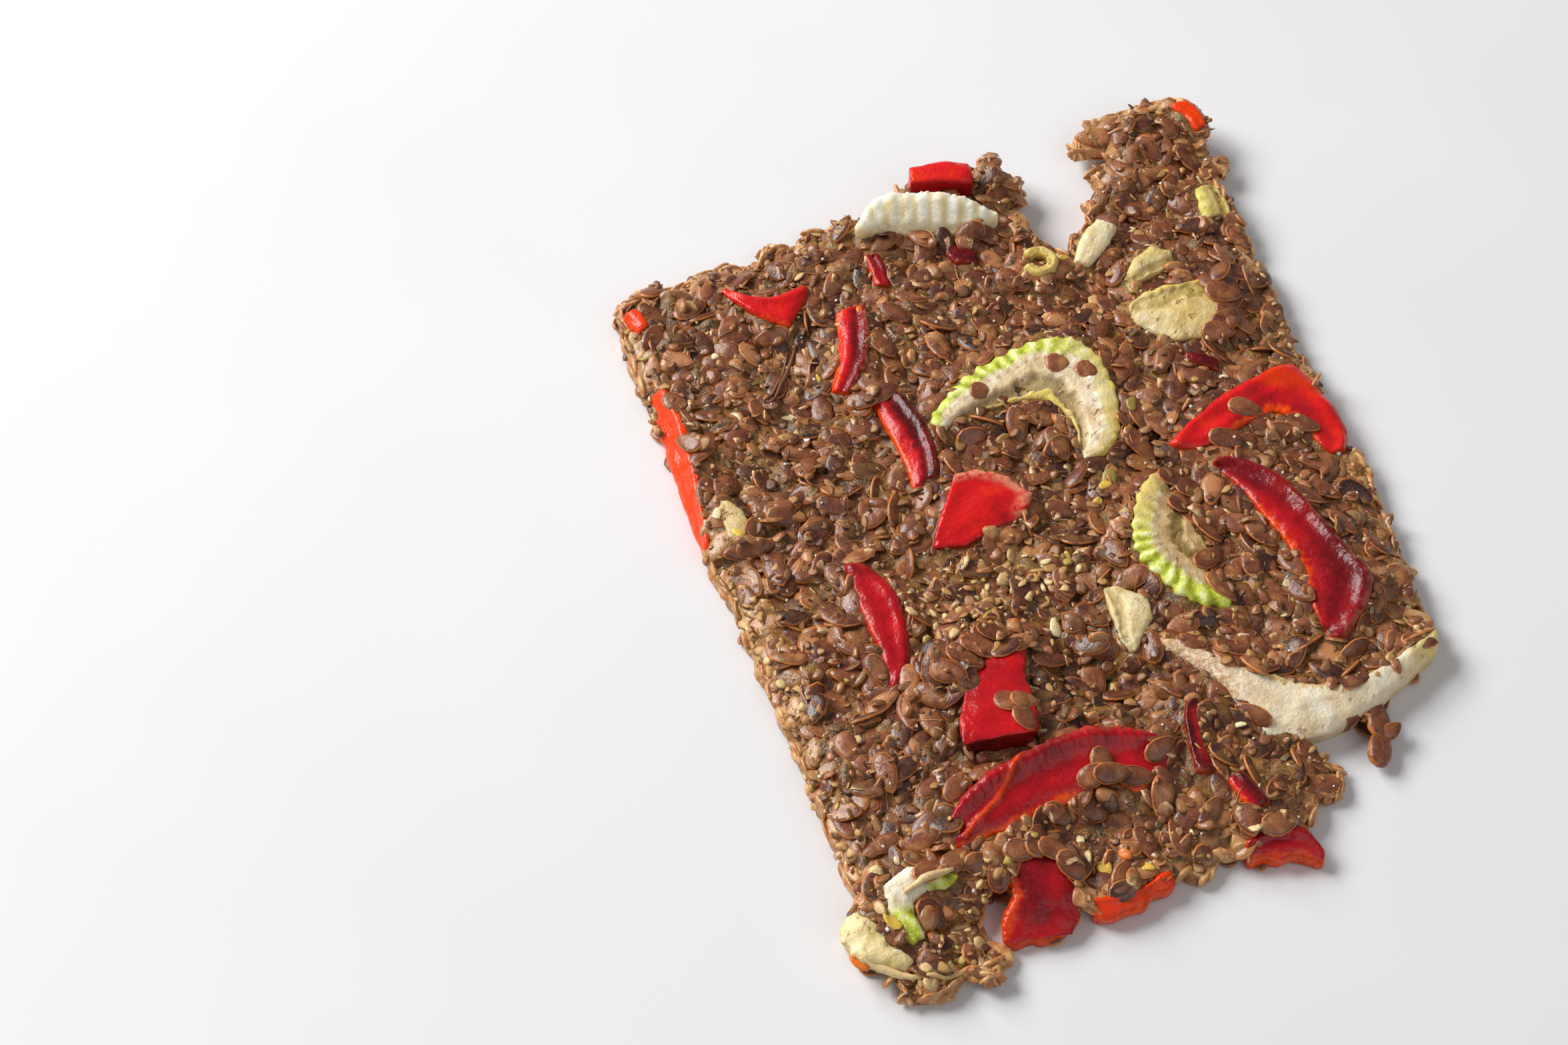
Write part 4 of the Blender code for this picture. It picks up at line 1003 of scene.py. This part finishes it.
# Shade from dark maroon (0) to orange scarlet (1), how orange the walls are, how orange the inner edge of
# the top is, where a rolled ridge runs (0 at the inner edge, 1 at the outer), its height, the pale film at
# the outer edge, how much brighter the inner side is than the outer one, and how far torn edges wander
PEPPER = {
    "left_edge": (1.3, 1.0, 0.9, 0.7, 0.2, 0.1, 0.0, 0.15),
    "back_left_corner": (1.1, 0.3, 0.1, 0.5, 0.1, 0.0, 0.0, 0.0),
    "back_left_patch": (0.75, 0.6, 0.5, 0.8, 0.2, 0.0, 0.0, 0.0),
    "back_strip": (0.22, 0.8, 0.8, 0.9, 0.3, 0.6, 0.65, 0.0),
    "centre_strip": (0.12, 0.7, 0.9, 0.85, 0.3, 0.15, 0.6, 0.0),
    "red_block": (0.72, 0.1, 0.0, 0.9, 0.15, 0.5, 0.0, 0.0),
    "left_strip": (0.5, 0.5, 0.3, 0.8, 0.2, 0.1, 0.0, 0.0),
    "raised_block": (0.62, 0.0, 0.0, 0.5, 0.0, 0.0, 0.0, 0.0),
    "front_long_strip": (0.48, 0.9, 1.0, 0.86, 0.55, 0.1, 0.0, 0.0),
    "dark_sliver": (0.10, 0.6, 0.6, 0.8, 0.2, 0.3, 0.4, 0.0),
    "front_sliver": (0.15, 0.7, 0.9, 0.7, 0.2, 0.2, 0.4, 0.0),
    "front_tip": (0.55, 1.0, 0.6, 0.8, 0.2, 0.0, 0.0, 0.3),
    "front_edge": (1.1, 1.0, 0.9, 0.8, 0.2, 0.0, 0.0, 0.35),
    "front_hanging": (0.42, 0.9, 0.6, 0.8, 0.1, 0.0, 0.0, 0.55),
    "right_band": (0.84, 0.8, 1.0, 0.85, 0.25, 0.0, -0.25, 0.0),
    "right_long_strip": (0.28, 0.8, 0.8, 0.9, 0.55, 0.3, 0.25, 0.0),
    "right_sliver": (0.10, 0.2, 0.2, 0.8, 0.1, 0.1, 0.0, 0.0),
    "back_block": (0.78, 0.0, 0.0, 0.6, 0.1, 0.3, 0.0, 0.0),
    "prong_tip": (1.1, 0.7, 0.5, 0.8, 0.1, 0.0, 0.0, 0.0),
    "back_sliver": (0.4, 0.7, 0.6, 0.8, 0.1, 0.0, 0.0, 0.0),
    "back_shadow_piece": (0.15, 0.2, 0.2, 0.8, 0.1, 0.0, 0.0, 0.0),
}
# The edge of the flap that lies over the left end of the long front strip, with a painted highlight along it
FLAP = ((-16.5, -33.2), (-18.6, -35.7), (-20.4, -37.4), (-23.5, -39.2), (-25.6, -40.6))
# The back and right edge of the red block, where its skin is dry and pale
DRY_EDGE = ((-9.9, 6.6), (-7.2, 6.6), (-3.9, 4.4), (-1.6, 1.4), (-3.6, -0.9))
# How lime the ribbed outer band is, how olive and hollow the inner zone is, how olive the whole top is, how
# browned the walls are, how yellow the thin inner rim is, how white the face is, how yellow the whole piece
# is, and how rough it is
CELERY = {
    "centre_crescent": (1.0, 0.75, 0.0, 0.3, 1.0, 0.2, 0.0, 1.0),
    "right_crescent": (1.0, 0.6, 0.35, 0.3, 0.0, 0.0, 0.0, 1.0),
    "front_crescent": (0.0, 0.0, 0.0, 0.3, 0.5, 0.55, 0.0, 1.0),
    "olive_piece": (0.0, 0.5, 0.15, 0.2, 0.3, 0.5, 0.35, 1.0),
    "back_crescent": (0.0, 0.6, 0.22, 0.5, 1.0, 0.1, 0.35, 1.6),
    "white_slice": (0.0, 0.0, 0.0, 0.25, 0.3, 1.0, 0.0, 1.0),
    "back_right_chip": (0.15, 0.0, 0.0, 0.2, 0.3, 0.6, 0.35, 1.0),
    "prong_root_chip": (0.3, 0.5, 0.2, 0.3, 0.4, 0.2, 0.4, 1.8),
    "prong_edge_chip": (0.7, 0.5, 0.6, 0.2, 0.6, 0.0, 0.5, 1.0),
    "front_green_curl": (1.0, 0.0, 0.1, 0.3, 0.3, 0.6, 0.0, 1.0),
    "front_yellow_chip": (0.0, 0.1, 0.0, 0.6, 0.6, 0.6, 0.55, 3.0),
    "left_pale_chip": (0.1, 0.2, 0.3, 0.3, 0.4, 0.3, 0.3, 1.0),
    "back_curl": (0.3, 0.6, 0.3, 0.2, 1.0, 0.0, 0.6, 1.0),
}
# The shares of its length between which the outer side of a piece turns from yellow to lime
LIME_SPAN = {"centre_crescent": (0.30, 0.55), "right_crescent": (0.05, 0.35)}
ALL_LIME = (-2.0, -1.0)
# The outer edge of the right crescent, which turns too far for a plain arc, and the middle of that turn
TURN_EDGE = ((13.8, 0.0), (10.4, -3.2), (7.8, -7.6), (7.0, -11.4), (8.3, -15.4), (10.8, -19.3),
             (14.8, -20.8))
TURN_MIDDLE = (13.5, -11.0)


def arc_of(points, bowed=False, bins=24):
    """Position along and across a piece, from the circle that fits it best seen from above, or from its long
    axis where it is too straight for one; the outer side of a bowed piece is the side it bulges to."""
    x, y = points[:, 0], points[:, 1]
    design = np.stack([x, y, np.ones(len(x))], 1)
    cx, cy, c = np.linalg.lstsq(design, x * x + y * y, rcond=None)[0]
    cx, cy = cx / 2, cy / 2
    radius = math.sqrt(max(c + cx * cx + cy * cy, 1.0))
    angle = np.arctan2(y - cy, x - cx)
    middle = math.atan2(np.mean(y) - cy, np.mean(x) - cx)
    along = ((angle - middle + math.pi) % TURN - math.pi) * radius
    out = np.hypot(x - cx, y - cy)
    spreads, axes = np.linalg.eigh(np.cov(x, y))
    if out.min() < 1.0 or radius > 10.0 * math.sqrt(spreads[1]):
        (ax, ay), (sx, sy) = axes[:, 1], axes[:, 0]
        along, out = x * ax + y * ay, x * sx + y * sy
        bulge = -np.polyfit(along - np.mean(along), out, 2)[0] if bowed else sx + 0.5 * sy
        out = out if bulge > 0.0 else -out
    limits = np.linspace(along.min(), along.max(), bins + 1)
    bin_of = np.clip(np.digitize(along, limits) - 1, 0, bins - 1)
    known = np.unique(bin_of)
    middles = (0.5 * (limits[1:] + limits[:-1]))[known]
    first, last = (np.interp(along, middles, [np.percentile(out[bin_of == k], share) for k in known])
                   for share in (3, 97))
    return along - along.min(), np.clip((out - first) / np.maximum(last - first, 0.5), 0.0, 1.0)


def remade(name):
    """The CAD node as an even fine mesh: points in millimetres, faces and outward directions."""
    copy = bpy.data.objects.new("work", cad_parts[name].data.copy())
    bpy.context.scene.collection.objects.link(copy)
    remesh = copy.modifiers.new("remesh", "REMESH")
    remesh.mode = "VOXEL"
    remesh.voxel_size = VOXEL * MM
    smooth = copy.modifiers.new("smooth", "SMOOTH")
    smooth.iterations = 2
    smooth.factor = 0.5
    mesh = bpy.data.meshes.new_from_object(copy.evaluated_get(bpy.context.evaluated_depsgraph_get()))
    bpy.data.objects.remove(copy)
    points = np.zeros(len(mesh.vertices) * 3)
    normals = np.zeros(len(mesh.vertices) * 3)
    mesh.vertices.foreach_get("co", points)
    mesh.vertices.foreach_get("normal", normals)
    faces = [list(p.vertices) for p in mesh.polygons]
    bpy.data.meshes.remove(mesh)
    return points.reshape(-1, 3) / MM, faces, normals.reshape(-1, 3)


def near_line(points, line):
    """Distance of points from a broken line, seen from above."""
    found = np.full(len(points), 99.0)
    for start, end in zip(line, line[1:]):
        start, way = np.array(start), np.subtract(end, start)
        t = np.clip((points[:, :2] - start) @ way / (way @ way), 0.0, 1.0)
        found = np.minimum(found, np.linalg.norm(points[:, :2] - start - t[:, None] * way, axis=1))
    return found


def pepper_piece(n, name, shade, hot, inner, ridge, rise, film, bright, torn):
    points, faces, normals = remade("pepper_" + name)
    along, across = arc_of(points)
    up = normals[:, 2]
    on_top = smooth_step(0.2, 0.7, up)
    wall = smooth_step(0.75, 0.1, up)
    nicks = noise(np.stack([along, along], 1), 0.8, n + 210)
    jagged = across + 0.06 * nicks + 0.04 * noise(points, 0.5, n + 230)
    off = across - ridge
    points[:, 2] += on_top * rise * (hump(off, 0.0, 0.12) - 0.6 * hump(off, -0.3, 0.18))
    body = np.stack([along, across * 4.0, points[:, 2]], 1)
    wrinkle = (noise(body, (5.0, 0.9, 3.0), n) * 0.13 + noise(body, (1.4, 3.0, 3.0), n + 30) * 0.08
               + noise(points, 2.6, n + 50) * 0.2)
    ragged = torn * wall * noise(points[:, :2], 1.5, n + 130)
    if name == "front_long_strip":
        ribs = np.cos(5.2 * along + 2.0 * noise(points, 2.0, 3))
        points[:, 2] += 0.07 * on_top * hump(across, 0.86, 0.14) * ribs
    if name == "front_hanging":
        points[:, 0] += 1.3 * hump(points[:, 1], -48.4, 1.5) * smooth_step(-20.5, -23.5, points[:, 0])
    points = points + normals * (0.1 + wrinkle + ragged)[:, None]
    points[:, 2] = np.maximum(points[:, 2], LOWEST)
    fold_ridge_and_highlight = np.zeros(len(points))
    if name == "front_long_strip":
        # The fold is raised, and through the hot mask a bright orange-red painted highlight runs along it
        fold_ridge_and_highlight = on_top * hump(near_line(points, FLAP), 0.0, 0.35)
        points[:, 2] += 0.35 * fold_ridge_and_highlight
    # Painted shade: the walls get a darker skin than the top, most on the raised block's front wall
    painted_wall_shade = 0.5 if name == "raised_block" else 0.25
    masks = {
        "shade": (shade - painted_wall_shade * wall + 0.16 * noise(points, 3.0, n + 90)
                  + bright * smooth_step(0.6, 0.2, jagged)),
        "hot": np.maximum.reduce((hot * wall * smooth_step(-0.9, -0.4, up),
                                  inner * smooth_step(0.16, 0.04, jagged), 0.8 * fold_ridge_and_highlight)),
        "film": film * on_top * smooth_step(0.88, 0.98, jagged),
    }
    if name == "red_block":
        masks["film"] = 0.85 * on_top * smooth_step(1.9, 0.5, near_line(points, DRY_EDGE))
    piece = mesh_object("pepper_skin_" + name, points, faces, masks)
    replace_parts(pepper.on(piece), "pepper_" + name)


def celery_piece(n, name, lime, inner, olive, brown, rim_yellow, white, all_yellow, rough):
    points, faces, normals = remade("celery_" + name)
    along, across = arc_of(points, True)
    if name == "right_crescent":
        angle = np.arctan2(points[:, 1] - TURN_MIDDLE[1], points[:, 0] - TURN_MIDDLE[0]) % TURN
        along, across = 6.7 * angle - 9.4, np.clip(1.0 - near_line(points, TURN_EDGE) / 6.5, 0.0, 1.0)
    up = normals[:, 2]
    on_top = smooth_step(0.2, 0.7, up)
    uneven = along + 0.45 * noise(points, 3.0, n + 300) + 0.12 * noise(points, 0.9, n + 310)
    ribs = 0.5 + 0.5 * np.cos(TURN * uneven / RIB_PITCH)
    jagged = across + 0.07 * noise(points, 0.7, n + 250) + 0.05 * noise(points, 2.2, n + 255)
    band = smooth_step(0.66, 0.78, jagged)
    if name == "front_green_curl":
        band = np.maximum(smooth_step(-45.8, -47.4, points[:, 1]), smooth_step(-32.4, -30.6, points[:, 0]))
    ripe = smooth_step(*LIME_SPAN.get(name, ALL_LIME), along / along.max())
    bundle = hump(across, 0.66, 0.05) * smooth_step(0.55, 0.85, ribs)
    wrinkle = rough * (noise(points, 1.6, n + 150) * 0.12 + noise(points, 0.8, n + 170) * 0.08)
    wrinkle += lime * (0.16 * (ribs - 0.5) * band * (0.4 + 0.6 * ripe) + 0.10 * bundle * on_top)
    points = points + normals * (0.12 + wrinkle)[:, None]
    hollow = smooth_step(0.05, 0.12, jagged) * smooth_step(0.40, 0.28, jagged)
    points[:, 2] = np.maximum(points[:, 2] - on_top * inner * 0.7 * hollow, LOWEST)
    pale = lime * (0.5 * bundle + 0.15 * smooth_step(0.4, 0.55, jagged))
    masks = {
        "lime": lime * band * (0.15 + 0.85 * ripe),
        "ribs": ribs,
        "olive": np.clip(olive + inner * hollow, 0.0, 1.0),
        "pits": on_top * (1.0 - band * lime),
        "white": np.clip(white + 0.3 * (white > 0.0) * noise(points, 2.4, n + 400) + pale, 0.0, 1.0),
        "brown": np.maximum(brown * smooth_step(0.8, 0.3, up) * (1.0 - lime * band),
                            0.9 * lime * hump(across, 0.60, 0.05) * smooth_step(0.4, 0.1, ribs)),
        "yellow": np.maximum.reduce((rim_yellow * smooth_step(0.10, 0.03, jagged),
                                     0.5 * lime * band * (1.0 - ripe),
                                     lime * smooth_step(0.86, 0.94, jagged) * (1.0 - ripe),
                                     np.full(len(points), all_yellow))),
        "husk": (name == "front_crescent") & (points[:, 1] < -38.9) & (np.abs(points[:, 0] - 25.0) < 3.5),
    }
    if name == "white_slice":
        height = (points[:, 2] - points[:, 2].min()) / np.ptp(points[:, 2])
        # The lower part is yellower, and the rib troughs are yellower too, as painted shade between the ribs
        masks["yellow"] = np.maximum(0.5 * smooth_step(0.7, 0.4, height), 0.45 * smooth_step(0.5, 0.1, ribs))
    if name == "back_crescent":
        masks["white"] = np.maximum(masks["white"], 0.6 * smooth_step(27.0, 21.0, points[:, 0]))
    if name == "front_crescent":
        masks["yellow"] = np.maximum.reduce((masks["yellow"], 0.8 * smooth_step(30.0, 36.0, points[:, 0]),
                                             0.7 * smooth_step(2.0, 0.8, points[:, 2])))
        masks["brown"] = np.maximum.reduce((masks["brown"], 0.7 * smooth_step(14.0, 9.0, points[:, 0]),
                                            0.5 * on_top * smooth_step(0.12, 0.05, jagged)))
    paint = thin_celery if name == "white_slice" else celery
    piece = mesh_object("celery_flesh_" + name, points, faces, masks)
    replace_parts(paint.on(piece), "celery_" + name)


pepper = pepper_paint()
for n, (name, values) in enumerate(PEPPER.items()):
    pepper_piece(n, name, *values)
celery = celery_paint()
thin_celery = celery_paint("thin dried celery", 0.6, 3.0, (1.0, 0.92, 0.78))
for n, (name, values) in enumerate(CELERY.items()):
    celery_piece(n, name, *values)


# Studio and camera


def aimed(thing, place, target):
    thing.location = place
    thing.rotation_euler = (Vector(target) - Vector(place)).to_track_quat("-Z", "Y").to_euler()
    bpy.context.scene.collection.objects.link(thing)
    return thing


def softbox(name, place, size, power, colour):
    light = bpy.data.lights.new(name, "AREA")
    light.shape = "RECTANGLE"
    light.size, light.size_y = size
    light.energy = power
    light.color = colour
    aimed(bpy.data.objects.new(name, light), place, (0.0, 0.0, 0.0))


softbox("key", (-0.72, 0.60, 0.75), (0.54, 0.54), 15.1, (1.0, 0.99, 0.97))
softbox("window", (-0.33, 0.78, 0.48), (0.21, 0.3), 3.3, (1.0, 0.98, 0.96))
softbox("fill", (0.6, -1.4, 1.4), (1.6, 1.6), 8.5, (0.97, 0.98, 1.0))

world = bpy.data.worlds.new("studio")
bpy.context.scene.world = world
world.use_nodes = True
background = world.node_tree.nodes["Background"]
background.inputs["Color"].default_value = (1.0, 0.985, 0.96, 1.0)
background.inputs["Strength"].default_value = 0.23

floor_mesh = bpy.data.meshes.new("floor")
floor_mesh.from_pydata([(-3, -3, 0), (3, -3, 0), (3, 3, 0), (-3, 3, 0)], [], [[0, 1, 2, 3]])
floor_object = bpy.data.objects.new("floor", floor_mesh)
bpy.context.scene.collection.objects.link(floor_object)
card = Paint("pale floor", None, roughness=0.8)
card.colour(card.ramp(card.noise(60.0, 2.0), (0.3, 222, 222, 225), (0.7, 226, 226, 229)))
floor_mesh.materials.append(card.material)

lens = bpy.data.cameras.new("photo camera")
lens.lens = 66.0
lens.sensor_width = 36.0
lens.clip_start = 0.01
camera = bpy.data.objects.new("photo camera", lens)
bpy.context.scene.camera = aimed(camera, (-0.09255, -0.18149, 0.28670), (-0.03051, 0.00944, 0.0))
bpy.context.scene.view_settings.view_transform = "Standard"
